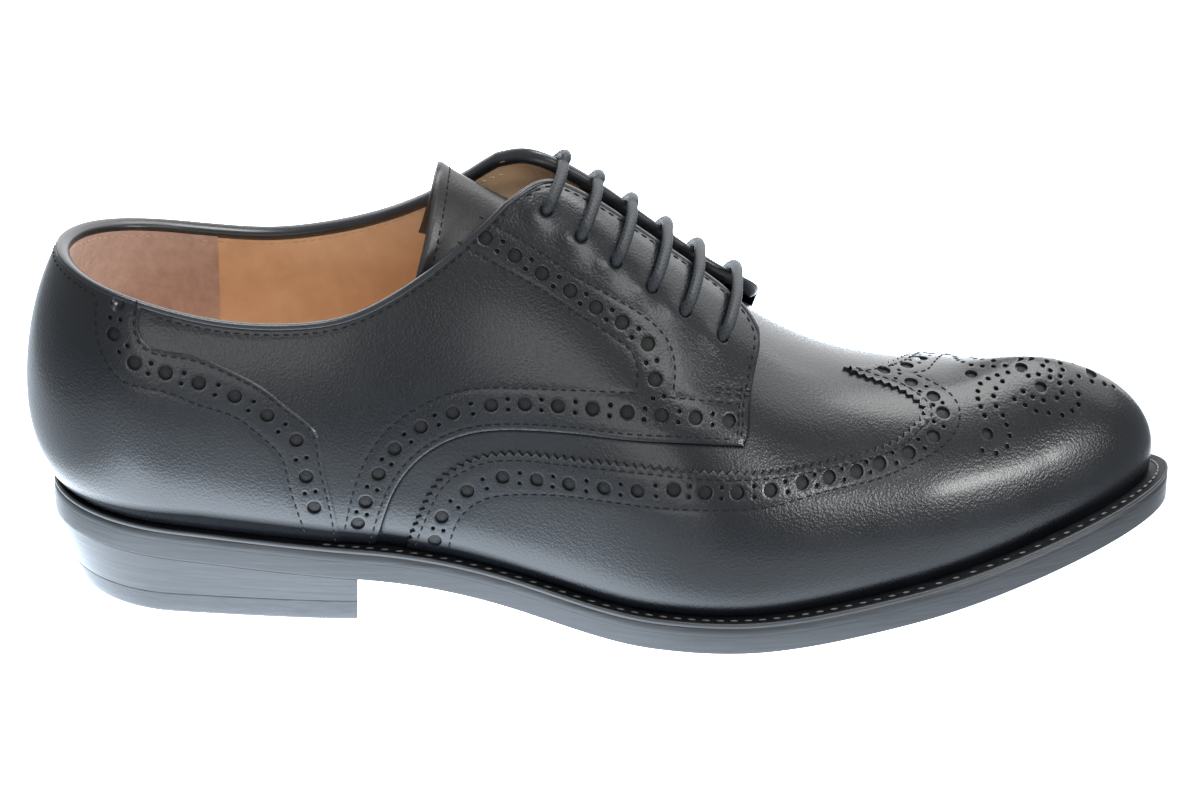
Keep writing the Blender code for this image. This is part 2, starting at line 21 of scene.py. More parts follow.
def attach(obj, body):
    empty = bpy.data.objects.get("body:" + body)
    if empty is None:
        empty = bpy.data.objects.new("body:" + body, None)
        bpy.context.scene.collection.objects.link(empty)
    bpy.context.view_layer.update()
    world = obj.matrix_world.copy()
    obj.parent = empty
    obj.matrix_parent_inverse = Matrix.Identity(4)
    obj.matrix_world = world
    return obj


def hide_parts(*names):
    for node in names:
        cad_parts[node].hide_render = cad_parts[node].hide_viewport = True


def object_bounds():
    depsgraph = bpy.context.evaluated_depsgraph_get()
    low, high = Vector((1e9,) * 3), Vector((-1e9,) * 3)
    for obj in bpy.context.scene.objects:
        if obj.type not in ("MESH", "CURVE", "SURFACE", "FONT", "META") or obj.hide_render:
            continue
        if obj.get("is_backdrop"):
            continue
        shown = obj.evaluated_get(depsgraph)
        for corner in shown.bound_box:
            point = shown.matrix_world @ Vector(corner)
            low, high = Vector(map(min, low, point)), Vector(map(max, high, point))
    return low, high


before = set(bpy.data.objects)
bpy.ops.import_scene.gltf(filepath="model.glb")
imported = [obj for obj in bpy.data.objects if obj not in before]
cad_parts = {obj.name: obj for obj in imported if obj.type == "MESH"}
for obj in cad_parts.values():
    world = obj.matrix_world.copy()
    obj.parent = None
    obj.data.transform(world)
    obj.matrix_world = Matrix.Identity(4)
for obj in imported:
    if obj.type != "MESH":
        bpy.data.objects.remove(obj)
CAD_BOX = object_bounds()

LOG = logging.getLogger("wingtip_shoe")
MM = 0.001
ORIGIN = np.array((148.0, 1.7, 0.0))
WELD_DISTANCE = 2e-6
Array = Places = np.ndarray
Field = Callable[[Array, Array], Array]


class Side(Enum):
    """The two sides of the foot, as the sign of v."""

    LATERAL = -1
    MEDIAL = 1


# Stations of the sole and lengths of its three stretches.
HEEL_BACK, HEEL_ARC_END, TOE_ARC_START, TOE_TIP, RIDGE_END = -3.0, 33.0, 235.0, 306.0, 261.3
HEEL_SPAN, MIDDLE_SPAN, TOE_SPAN = 54.0, 205.0, 91.0
EDGE_LENGTH = HEEL_SPAN + MIDDLE_SPAN + TOE_SPAN
HEEL_ROUNDNESS, TOE_ROUNDNESS, TOE_SQUARENESS = 2.2, 2.05, -0.02
RIDGE_CENTRING = 0.9

# Underside of the outsole, and heights above it.
SEAT_BACK, SEAT_BREAST, BREAST = 19.0, 12.6, 83.0
TREAD_START, TREAD_END, TOE_SPRING, TOE_SPRING_POWER = 163.0, 186.0, 22.0, 1.8
OUTSOLE_TOP, WELT_TOP, FEATHER_HEIGHT = 5.0, 8.9, 9.2
UPPER_WALL = 2.4
THROAT_END = 187.5
LINED_TO, LINING_FADE = 150.0, 12.0
FACING_HALF_GAP = 4.5
EDGE_PROBE = 0.02

# Columns: station, centre, half width of the sole.
SOLE_ROWS = (
    (-3, 0, 31.5), (30, 0, 34), (60, -0.6, 35.3), (83, -1.5, 34.5),
    (104, -2.4, 32.2), (125, -3, 33), (146, -3.6, 38.8), (163, -3.2, 44.6),
    (180, -1.2, 48.8), (200, 2.6, 49.8), (220, 6, 47.2), (240, 8.6, 43.2),
    (261, 11.1, 38.6), (282, 13.5, 35), (306, 15, 31.2),
)
# Columns: station, ridge height, bulge, bulge height, welt ledge, roundness.
UPPER_ROWS = (
    (-3, 117, 11.6, 27, 6.2, 2), (33, 118, 7.6, 25, 5.2, 2),
    (66, 121, 5.2, 21, 5, 2), (100, 124, 4.2, 16, 5.2, 2),
    (131, 118, 3.6, 12.5, 5.6, 2), (160, 98.5, 3, 11, 5.8, 2),
    (187, 78.2, 2.6, 10, 6, 2), (204, 68.6, 2.2, 9.5, 6.2, 2),
    (222, 63, 1.8, 9, 6.4, 2.05), (245, 61.3, 1.4, 8, 6.6, 2.05),
    (265, 62.9, 0.9, 7.5, 6.6, 1.93), (274, 61.3, 0.6, 7.5, 6.6, 1.91),
)
# Columns: station, sideways shift of the ridge.
RIDGE_ROWS = ((-3.0, 0.0), (60.0, 0.0), (131.0, 0.5), (187.0, 0.5), (220.0, 0.0), (272.0, 0.0))
# Columns: station, lateral height, medial height of the collar.
TOPLINE_ROWS = (
    (-3, 94.6, 94.6), (12, 91.6, 91.8), (24, 89.4, 90), (40, 86, 88.8),
    (56, 84.5, 88.9), (67, 84.8, 90.8), (80, 87, 94.6), (93, 93, 100.6),
    (104, 100.5, 108), (114, 108.8, 115.4), (124, 117.5, 121.2), (132, 124, 125),
)
# Columns: station, lift of the laced facings above the last.
FACING_ROWS = ((110.0, 0.0), (122.0, 1.3), (150.0, 2.8), (187.5, 5.0))
# Columns: station, further lift of the medial facing, which stands open.
FAR_FACING_ROWS = (
    (98, 0), (108, 1.2), (118, 2), (130, 1.6), (150, 0.4), (165, 0),
)
# Columns: station, half width of the tongue, gap in its middle under the upper's wall.
TONGUE_ROWS = (
    (102, 35, 0.8), (110, 33, 4.4), (120, 30, 7.4), (140, 25, 7.6),
    (165, 20, 3.6), (185, 18, 1.2), (199, 17, 0.6),
)
FACING_FLAT, FACING_FADE = 8.0, 38.0

# Seams on the lateral side as places (u, v); the medial side mirrors them.
WING_EDGE = (
    (118.4, -114.5), (119.4, -110.9), (122.6, -101.8), (126.4, -93.9), (132.2, -88.3),
    (139.1, -84.2), (146, -81.8), (159.8, -77.4), (181.7, -66.7), (200.8, -57.4),
    (219.6, -47.9), (234.9, -39.7), (246.1, -34.4), (253.3, -29.8), (258.5, -23.8),
    (260.4, -20.3),
)
WING_PEAK_EDGE = ((258.1, -17.1), (252.4, -12.8), (245.5, -10.5), (237.0, -7.9))
WING_PEAK_FAR = ((237.0, -7.9), (243.5, -5.0), (249.2, -0.7), (255.0, 7.2), (258.6, 15.6))
WING_HOLES = (
    (125.8, -111.3), (127.6, -103.7), (134.1, -95.2), (143.1, -89.2), (151.8, -87),
    (160.2, -84.2), (169.6, -79.9), (178.9, -74.9), (189.2, -68.4), (198.3, -64),
    (207.7, -59.2), (217.3, -54.1), (226.3, -48.5), (233.9, -44.6), (241.6, -41.1),
    (247.9, -37.6), (256, -33.4), (262.8, -27.9), (266.2, -20.5),
)
WING_PEAK_HOLES = (
    (263.5, -15.1), (256.1, -10.1), (248.3, -5.7), (254.9, -1.2), (259.6, 5), (263.8, 13),
)
WING_ROW = (
    (129.4, -114), (130.1, -109.8), (132.4, -103.4), (138.5, -96.9), (146.2, -93.4),
    (153.2, -90.7), (167.2, -84.7), (182.1, -77.4), (201.2, -67.2), (220, -56.8),
    (231.3, -49.6), (246.5, -42.5), (257.5, -36.2), (265.3, -30.3), (270.6, -23.2),
)
WING_PEAK_ROW = ((271.6, -17.3), (268.6, -12.5), (261.5, -8.3), (255.5, -5.8))
WING_PEAK_ROW_FAR = ((255.5, -5.8), (264.0, -1.7), (268.0, 5.4), (270.2, 14.0))
QUARTER_LOW_EDGE = (
    (109.6, -114), (110.9, -109), (115.3, -96), (121.6, -87.3), (132, -80),
    (142.3, -76.2), (154.1, -72.5), (163, -68.9), (174, -63.9), (190.5, -55.1),
    (209.3, -46),
)
QUARTER_FRONT_EDGE = (
    (210, -44.6), (210.7, -37), (211, -30), (211.2, -23), (211.2, -17.8),
)
FACING_CORNER = ((210.4, -14.6), (208.4, -11.4), (205.2, -8.4), (201.2, -6.2))
FACING_EDGE = ((196.0, -4.8), (180.0, -4.5), (158.0, -4.5))
FACING_TOP_CORNER = {
    Side.LATERAL: ((155.0, -4.9), (151.5, -6.5), (148.0, -9.4), (144.8, -12.8)),
    Side.MEDIAL: ((156.0, 4.7), (152.0, 5.0), (148.0, 6.0), (144.6, 7.9), (141.8, 9.9)),
}
COLLAR_FRONT = {Side.LATERAL: 142.0, Side.MEDIAL: 139.0}
QUARTER_HOLES = (
    (104.9, -106.9), (107.1, -100.3), (110.6, -92.1), (114.9, -84.9), (121.8, -78.4),
    (130.1, -73.7), (139.9, -69.8), (148.4, -67.2), (156.9, -64.3), (166.1, -60.3),
    (175.6, -55.7), (185.2, -50.9), (194.8, -46.2), (204.6, -41.6),
)
QUARTER_UPPER_ROW = (
    (101.4, -108), (103.8, -97), (110.8, -82.3), (121.4, -72.9), (131.8, -67.5),
    (140.8, -64.9), (152.6, -61.6), (168.1, -54.5), (177.9, -49.3),
)
QUARTER_FRONT_ROW = ((188.2, -44.5), (198.0, -39.9), (209.0, -35.0))
FACING_HOLES = (
    (137.5, -25.6), (145.2, -28.5), (152.3, -30.9), (159.7, -32.3), (166.6, -33.2),
    (173.7, -33.2), (180.9, -34.6), (183.1, -42.7),
)
FACING_UPPER_ROW = (
    (136.5, -20.6), (144.9, -23.4), (158.9, -27.4), (169.7, -28.2), (180.6, -28.4),
    (186.6, -31), (188.6, -36.1), (188.2, -43.6),
)
FACING_LOWER_ROW = (
    (131, -28), (141.6, -32.3), (152.1, -35.2), (162.7, -37.5), (173.5, -38.3),
    (177.3, -40), (177.9, -48.1),
)
EYELETS = (
    (152.8, -14.6), (161.9, -17.4), (171.2, -19.1), (180.9, -20), (190, -20.9),
    (200.6, -21.4),
)
BAR_TACK = ((201.2, -35.9), (209.6, -32.4))
COUNTER_ROW = (
    (44.9, -43), (44.8, -52), (46.4, -55.4), (56.5, -58.4), (70, -63.3), (78.6, -68.2),
    (86.2, -74.5), (92.2, -80.1), (93.9, -87.9), (95.8, -96.7), (98, -108), (98.6, -113),
)
COUNTER_BACK_ROW = (
    (33.1, -46), (35.2, -55.6), (38.1, -61.5), (42.5, -65.9), (51.6, -67.4), (61.4, -71.2),
    (71.3, -74.8), (78.6, -80.7), (83.5, -86), (85.6, -93.3), (87.8, -101.5), (89.9, -108.5),
)
COUNTER_HOLES = (
    (39.5, -46), (39.6, -54.2), (45.3, -60.6), (52.7, -62.4), (61.4, -65.1), (71.1, -68.9),
    (80, -74.4), (87.9, -81.7), (90.6, -92.2), (92.8, -101.4),
)

# Toe medallion, in plan: its middle, the turn of its axis, and the half of its holes on the lateral
# side of that axis as (along, across). The other half leaves out what would lie on the wing's seam.
MEDALLION_MIDDLE, MEDALLION_TURN, MEDALLION_FAR_END = (265.25, 7.5), math.radians(14.85), -19.0
MEDALLION_BIG = ((-17.4, 0.0), (-2.9, 0.0), (17.4, 0.0), (0.8, -5.8), (-17.9, -16.4))
MEDALLION_DOTS = (
    (-20.3, -19.4), (-16.2, -19.4), (-12.7, -18), (-11.5, -16.2), (-11.8, -14.3),
    (-12.3, -12.4), (-13.6, -10.4), (-13.5, -7.8), (-12.1, -5.7), (-9.6, -3.8), (-17.7, -12.7),
    (-18.1, -10.6), (-18.2, -8.5), (-17.5, -6.2), (-16, -3.8), (-13.3, -2.4), (-10.4, -1.6),
    (-7.2, -1.2), (-7.8, -8.7), (-5.1, -10), (-4.7, -6.9), (-2.4, -8.2), (-2.3, -11.1),
    (-1.9, -2.9), (0.5, -8.9), (1.1, -2.6), (1.3, -11.3), (4.1, -3.5), (4.6, -8.2), (4.9, -1.5),
    (5.2, -11.4), (6.4, -4.9), (6.5, -7), (7.3, -3), (8.4, -10.3), (8.6, -1.1), (9.9, -4.4),
    (10.7, -8.9), (11.3, -6.8), (12.9, -2.3), (16.5, -3), (20.5, -2.4), (23.3, -1.8),
    (3.2, 0),
)

# Radius and corners of each kind of hole, distance of a small hole from its row, and spacing of the
# points that fill the leather.
BIG_HOLE, SMALL_HOLE, EYELET = (1.95, 18), (0.62, 9), (1.75, 16)
MEDALLION_HOLE, MEDALLION_DOT = (1.75, 16), (0.74, 10)
DOT_SPREAD = 1.45
LATTICE = 1.25

# Mesh attribute that is 1 or more where polish and mirror are taken off to paint shade, and 0 or
# less on clear leather; the height where the band above the welt ends, by u (painted shade where
# the upper meets the welt, partly leather that the polish misses); the height over which it fades;
# and where the painted shadow below a quarter's edge starts and ends to fade.
SHADE_AND_DULL = "shade_and_dull"
WELT_SHADE_ROWS = ((60.0, 9.8), (150.0, 6.0), (230.0, 5.0))
WELT_SHADE_FADE = 2.4
EDGE_SHADOW = (0.35, 1.1)


class Curve:
    """Natural cubic spline through two columns of a table, held level beyond its ends."""

    def __init__(self, at: Sequence[float], values: Sequence[float]) -> None:
        """Solve the spline.

        Args:
            at: Rising places.
            values: The value at each place.
        """
        self.at = np.asarray(at, float)
        self.values = np.asarray(values, float)
        count, step = len(self.at), np.diff(self.at)
        slope = np.diff(self.values) / step
        matrix, right = np.eye(count), np.zeros(count)
        for i in range(1, count - 1):
            matrix[i, i - 1:i + 2] = step[i - 1], 2 * (step[i - 1] + step[i]), step[i]
            right[i] = 6 * (slope[i] - slope[i - 1])
        self.bend = np.linalg.solve(matrix, right)

    def __call__(self, x: Array) -> Array:
        """Value of the curve.

        Args:
            x: Places to read.

        Returns:
            The values there.
        """
        x = np.clip(np.asarray(x, float), self.at[0], self.at[-1])
        i = np.clip(np.searchsorted(self.at, x) - 1, 0, len(self.at) - 2)
        step = self.at[i + 1] - self.at[i]
        u = (x - self.at[i]) / step
        w = 1 - u
        line = w * self.values[i] + u * self.values[i + 1]
        bend = (w ** 3 - w) * self.bend[i] + (u ** 3 - u) * self.bend[i + 1]
        return line + step ** 2 / 6 * bend


def columns(rows: Sequence[Sequence[float]]) -> list[Curve]:
    """Curves over the first column of a table, one for each other column."""
    named = np.array(rows).T
    return [Curve(named[0], column) for column in named[1:]]


SOLE_CENTRE, SOLE_HALF = columns(SOLE_ROWS)
RIDGE_HEIGHT, BULGE, BULGE_HEIGHT, WELT_LEDGE, ROUNDNESS = columns(UPPER_ROWS)
RIDGE_SHIFT, = columns(RIDGE_ROWS)
TOPLINE = dict(zip(Side, columns(TOPLINE_ROWS)))
FACING_LIFT, = columns(FACING_ROWS)
FAR_FACING_LIFT, = columns(FAR_FACING_ROWS)
TONGUE_HALF, TONGUE_GAP = columns(TONGUE_ROWS)


def unit(vectors: Array) -> Array:
    """Vectors at length 1."""
    return vectors / np.maximum(np.linalg.norm(vectors, axis=-1, keepdims=True), 1e-12)


def resample(line: Array, arc: Array, at: Array) -> Array:
    """Points of a line, given with its running length, at other lengths."""
    return np.stack([np.interp(at, arc, column) for column in line.T], -1)


def constant(value: float) -> Callable[..., Array]:
    """A field or curve that is the same everywhere."""
    return lambda x, *_: np.full_like(x, value)


def station(u: Array) -> Array:
    """Station of a length along the sole, closer together round both ends.

    Args:
        u: Lengths along the sole.

    Returns:
        The stations.
    """
    u = np.asarray(u, float)
    heel_turn = math.pi / 2 * np.clip(u / HEEL_SPAN, 0, 1)
    toe_turn = math.pi / 2 * np.clip((u - HEEL_SPAN - MIDDLE_SPAN) / TOE_SPAN, 0, 1)
    middle = np.clip((u - HEEL_SPAN) / MIDDLE_SPAN, 0, 1)
    heel = HEEL_ARC_END - (HEEL_ARC_END - HEEL_BACK) * np.cos(heel_turn)
    toe = (TOE_TIP - TOE_ARC_START) * np.sin(toe_turn)
    return heel + (TOE_ARC_START - HEEL_ARC_END) * middle + toe


def length_at(x: Array | float) -> Array | float:
    """Length along the sole of a station between the heel's arc and the toe's."""
    return HEEL_SPAN + (x - HEEL_ARC_END) * MIDDLE_SPAN / (TOE_ARC_START - HEEL_ARC_END)


def heel_share(x: Array) -> Array:
    """How far a station lies into the heel's arc."""
    return np.clip((HEEL_ARC_END - x) / (HEEL_ARC_END - HEEL_BACK), 0, 1)


def toe_share(x: Array) -> Array:
    """How far a station lies into the toe's arc."""
    return np.clip((x - TOE_ARC_START) / (TOE_TIP - TOE_ARC_START), 0, 1)


def underside(x: Array) -> Array:
    """Height of the outsole's underside.

    Args:
        x: Stations.

    Returns:
        The heights.
    """
    x = np.asarray(x, float)
    slope = (SEAT_BREAST - SEAT_BACK) / (BREAST - HEEL_BACK)
    span = TREAD_START - BREAST
    t = np.clip((x - BREAST) / span, 0, 1)
    arch = SEAT_BREAST * (2 * t ** 3 - 3 * t ** 2 + 1) + slope * span * (t ** 3 - 2 * t ** 2 + t)
    seat = SEAT_BREAST + slope * (x - BREAST)
    rise = np.clip((x - TREAD_END) / (TOE_TIP - TREAD_END), 0, None)
    return np.where(x < BREAST, seat, arch) + TOE_SPRING * rise ** TOE_SPRING_POWER


def plain_edge(u: Array, side: Side) -> Array:
    """Plan points of the sole's edge.

    Args:
        u: Lengths along the sole.
        side: Side of the foot.

    Returns:
        Points (x, y).
    """
    x = station(u)
    arc = np.sqrt(np.clip(1 - heel_share(x) ** HEEL_ROUNDNESS, 0, 1))
    arc = arc * np.sqrt(np.clip(1 - toe_share(x) ** TOE_ROUNDNESS, 0, 1))
    return np.stack([x, SOLE_CENTRE(x) + side.value * SOLE_HALF(x) * arc], -1)


def edge(u: Array, side: Side, inset: Array | float = 0.0) -> Array:
    """Plan points of the sole's edge, moved inwards square to it.

    Args:
        u: Lengths along the sole.
        side: Side of the foot.
        inset: Distance inwards.

    Returns:
        Points (x, y).
    """
    u = np.asarray(u, float)
    ahead, behind = (plain_edge(np.clip(u + probe, 0, EDGE_LENGTH), side)
                     for probe in (EDGE_PROBE, -EDGE_PROBE))
    along = unit(ahead - behind)
    outwards = side.value * np.stack([-along[..., 1], along[..., 0]], -1)
    return plain_edge(u, side) - outwards * np.broadcast_to(inset, u.shape)[..., None]


def lengths(points: Array) -> Array:
    """Running length along a line of points."""
    steps = np.linalg.norm(np.diff(points, axis=0), axis=-1)
    return np.concatenate([[0.0], np.cumsum(steps)])


class Last:
    """The form under the leather, as a dense grid of points over (u, v)."""

    U_STEPS = 700
    V_STEPS = 180
    ARC_STEPS = 240
    COLLAR_STEPS = 200
    NUDGE_PROBE = 0.4
    TRACE_STEP = 0.25
    # Upward share of the outward direction below which the wall counts as steep, and how far off
    # a steep place is held to be.
    STEEP = 0.2
    STEEP_FAR = 50.0

    def __init__(self) -> None:
        """Fill the grid of points, outward directions and flattened places."""
        self.u = np.linspace(0.0, EDGE_LENGTH, self.U_STEPS + 1)
        self.girth: dict[Side, Array] = {}
        lateral, medial = self._half(Side.LATERAL), self._half(Side.MEDIAL)
        self.grid, self.flat = (
            np.concatenate([near[:, ::-1], far[:, 1:]], 1) for near, far in zip(lateral, medial))
        normal = unit(np.cross(np.gradient(self.grid, axis=0), np.gradient(self.grid, axis=1)))
        for end in (0, -1):
            normal[end] = normal[end] + normal[end, ::-1]
        normal[-1, self.V_STEPS] = (0, 0, 1)
        self.normal = unit(normal)

    def _half(self, side: Side) -> tuple[Array, Array]:
        """Columns of one side, from the ridge down to the feather line.

        Args:
            side: Side of the foot.

        Returns:
            Points (x, y, z) and flattened places of the columns.
        """
        x = station(self.u)
        feather = edge(self.u, side, WELT_LEDGE(x))
        ridge_x = np.maximum(x, HEEL_ARC_END)
        toe_ridge = TOE_ARC_START + (RIDGE_END - TOE_ARC_START) * toe_share(x)
        ridge_x = np.where(x > TOE_ARC_START, toe_ridge, ridge_x)
        ridge_y = RIDGE_CENTRING * SOLE_CENTRE(ridge_x) + RIDGE_SHIFT(ridge_x)
        ridge = np.stack([ridge_x, ridge_y], -1)
        out = feather - ridge
        reach = np.linalg.norm(out, axis=-1)
        out = out / reach[:, None]
        foot_z = underside(feather[:, 0]) + FEATHER_HEIGHT
        bulge, bulge_z = BULGE(x), BULGE_HEIGHT(x)
        crown = RIDGE_HEIGHT(ridge_x) - foot_z - bulge_z
        power = 2 / (ROUNDNESS(x) + TOE_SQUARENESS * toe_share(x) ** 2)
        turn = np.linspace(0, math.pi / 2, self.ARC_STEPS + 1)[:, None]
        over_r = (reach + bulge) * np.sin(turn) ** power
        over_z = foot_z + bulge_z + crown * np.clip(np.cos(turn), 0, 1) ** power
        tuck_r = reach + bulge * np.cos(turn[1:])
        tuck_z = foot_z + bulge_z * (1 - np.sin(turn[1:]))
        r, z = np.concatenate([over_r, tuck_r]), np.concatenate([over_z, tuck_z])
        profile = np.concatenate([ridge + out * r[..., None], z[..., None]], -1)
        steps = np.linalg.norm(np.diff(profile, axis=0), axis=-1)
        arc = np.concatenate([np.zeros((1, len(x))), np.cumsum(steps, 0)])
        self.girth[side] = arc[-1]
        share = np.linspace(0, 1, self.V_STEPS + 1)
        points = np.zeros((len(x), len(share), 3))
        for i in range(len(x)):
            for k in range(3):
                points[i, :, k] = np.interp(share * arc[-1, i], arc[:, i], profile[:, i, k])
        flat = ridge[:, None] + out[:, None] * (share * arc[-1][:, None])[..., None]
        return points, flat

    def _read(self, values: Array, u: Array, v: Array) -> Array:
        """Blend a grid at places; past the heel or toe, u carries on along the other side.

        Args:
            values: A grid over (u, v).
            u: Lengths along the sole.
            v: Distances from the ridge.

        Returns:
            The blended values.
        """
        u, v = np.asarray(u, float), np.asarray(v, float)
        v = np.where((u < 0) | (u > EDGE_LENGTH), -v, v)
        u = np.where(u < 0, -u, np.where(u > EDGE_LENGTH, 2 * EDGE_LENGTH - u, u))
        row = u / EDGE_LENGTH * self.U_STEPS
        reach = np.where(v < 0, self.foot(u, Side.LATERAL), self.foot(u, Side.MEDIAL))
        column = self.V_STEPS * (1 + np.clip(v / np.abs(reach), -1, 1))
        i = np.clip(row.astype(int), 0, values.shape[0] - 2)
        j = np.clip(column.astype(int), 0, values.shape[1] - 2)
        a, b = (row - i)[..., None], (column - j)[..., None]
        near = (1 - b) * values[i, j] + b * values[i, j + 1]
        return (1 - a) * near + a * ((1 - b) * values[i + 1, j] + b * values[i + 1, j + 1])

    def foot(self, u: Array, side: Side) -> Array:
        """Signed v of the feather line."""
        return side.value * np.interp(u, self.u, self.girth[side])

    def out(self, places: Places) -> Array:
        """Outward directions at places."""
        return unit(self._read(self.normal, places[..., 0], places[..., 1]))

    def at(self, places: Places, lift: Array | float = 0.0) -> Array:
        """Points at a height above the last.

        Args:
            places: Places (u, v).
            lift: Heights.

        Returns:
            Points (x, y, z).
        """
        places = np.asarray(places, float)
        points = self._read(self.grid, places[..., 0], places[..., 1])
        return points + self.out(places) * np.broadcast_to(lift, places.shape[:-1])[..., None]

    def flatten(self, places: Places) -> Array:
        """Places as points of one flat sheet, without seams at heel or toe."""
        return self._read(self.flat, places[..., 0], places[..., 1])

    def nudge(self, places: Places, shift: Array) -> Places:
        """Move places by a shift along the surface.

        Args:
            places: Places (u, v).
            shift: Vectors in millimetres.

        Returns:
            The moved places.
        """
        step = self.NUDGE_PROBE
        du = (self.at(places + (step, 0)) - self.at(places - (step, 0))) / (2 * step)
        dv = (self.at(places + (0, step)) - self.at(places - (0, step))) / (2 * step)
        a, b, c = (du * du).sum(-1), (du * dv).sum(-1), (dv * dv).sum(-1)
        p, q = (du * shift).sum(-1), (dv * shift).sum(-1)
        size = np.maximum(a * c - b * b, 1e-6)
        return places + np.stack([(c * p - b * q) / size, (a * q - b * p) / size], -1)

    def under_plan(self, x: float, y: float) -> Places:
        """The place on top of the last over a plan point.

        Args:
            x: Station.
            y: Sideways place.

        Returns:
            One place (u, v).
        """
        near = np.hypot(self.grid[..., 0] - x, self.grid[..., 1] - y)
        near = near + self.STEEP_FAR * (self.normal[..., 2] < self.STEEP)
        i, j = np.unravel_index(np.argmin(near), near.shape)
        side = Side.LATERAL if j < self.V_STEPS else Side.MEDIAL
        place = np.array([[self.u[i], (j / self.V_STEPS - 1) * self.girth[side][i]]])
        for _ in range(3):
            gap = np.array([[x, y, 0.0]]) - self.at(place)
            normal = self.out(place)
            gap[:, 2] = -(gap[:, :2] * normal[:, :2]).sum(-1) / np.maximum(normal[:, 2], self.STEEP)
            place = self.nudge(place, gap)
        return place[0]

    def collar(self, u: Array, side: Side) -> Array:
        """Signed v of the collar line.

        Args:
            u: Lengths along the sole.
            side: Side of the foot.

        Returns:
            The distances from the ridge.
        """
        found = []
        height = TOPLINE[side](station(u))
        for value, z in zip(u, height):
            reach = abs(float(self.foot(value, side)))
            v = np.linspace(0, reach, self.COLLAR_STEPS)
            column = self.at(np.stack([np.full_like(v, value), side.value * v], -1))[:, 2]
            found.append(side.value * max(FACING_HALF_GAP, float(np.interp(-z, -column, v))))
        return np.array(found)

    def mirrored(self, path: Places) -> Places:
        """The same line on the other side of the foot, scaled to that side's girth."""
        path = np.asarray(path, float)
        ratio = self.foot(path[:, 0], Side.MEDIAL) / self.foot(path[:, 0], Side.LATERAL)
        return np.stack([path[:, 0], path[:, 1] * ratio], -1)

    def trace(self, rows: Sequence[Sequence[float]], spacing: float) -> Places:
        """A smooth line through places, at an even spacing.

        Args:
            rows: Places (u, v).
            spacing: Distance between the points of the line.

        Returns:
            The line's places.
        """
        knots = np.array(rows, float)
        chord = lengths(self.at(knots))
        dense_at = np.linspace(0, chord[-1], max(8, int(chord[-1] / self.TRACE_STEP)))
        dense = np.stack([Curve(chord, column)(dense_at) for column in knots.T], -1)
        arc = lengths(self.at(dense))
        even = np.linspace(0, arc[-1], max(2, round(arc[-1] / spacing) + 1))
        return resample(dense, arc, even)

    def shifted(self, path: Places, distance: Array | float) -> Places:
        """A line moved sideways, to its left for a positive distance."""
        left = unit(np.cross(self.out(path), np.gradient(self.at(path), axis=0)))
        return self.nudge(path, left * np.broadcast_to(distance, len(path))[:, None])

    def lattice(self, spacing: float) -> Places:
        """Evenly spread places over the whole last.

        Args:
            spacing: Distance between neighbours.

        Returns:
            The places.
        """
        spread = []
        reach = max(self.girth[side].max() for side in Side)
        for k, v in enumerate(np.arange(spacing / 2, reach, spacing * math.sqrt(3) / 2)):
            for side in Side:
                line = np.stack([self.u, np.full_like(self.u, side.value * v)], -1)
                line = line[self.girth[side] > v + 0.3 * spacing]
                if len(line) < 2:
                    continue
                arc = lengths(self.at(line))
                even = np.arange(spacing * (0.25 + 0.5 * (k % 2)), arc[-1], spacing)
                spread.append(resample(line, arc, even))
        return np.concatenate(spread)


def hex_colour(code: str) -> tuple[float, float, float, float]:
    """Linear colour of an sRGB hex value."""
    parts = [int(code[i:i + 2], 16) / 255 for i in (1, 3, 5)]
    linear = [p / 12.92 if p <= 0.04045 else ((p + 0.055) / 1.055) ** 2.4 for p in parts]
    return (*linear, 1.0)


def add_node(tree: NodeTree, kind: str, inputs: dict | None = None,
             **settings: object) -> Node:
    """Add a node with its settings, and fill or link its inputs.

    Args:
        tree: Tree that gets the node.
        kind: Node type.
        inputs: Values or sockets by input name or number.
        **settings: Node properties.

    Returns:
        The node.
    """
    node = tree.nodes.new(kind)
    for name, value in settings.items():
        setattr(node, name, value)
    for key, value in (inputs or {}).items():
        if isinstance(value, NodeSocket):
            tree.links.new(value, node.inputs[key])
        else:
            node.inputs[key].default_value = value
    return node


def per_metre(millimetres: float) -> float:
    """Texture scale that repeats once in a real size."""
    return 1.0 / (millimetres * MM)


def new_material(name: str) -> tuple[Material, NodeTree, Node]:
    """A new material, with its node tree and its shader."""
    made = bpy.data.materials.new(name)
    made.use_nodes = True
    return made, made.node_tree, made.node_tree.nodes["Principled BSDF"]


def new_object(name: str, data: ID) -> Object:
    """A new object of the scene."""
    made = bpy.data.objects.new(name, data)
    bpy.context.scene.collection.objects.link(made)
    return made


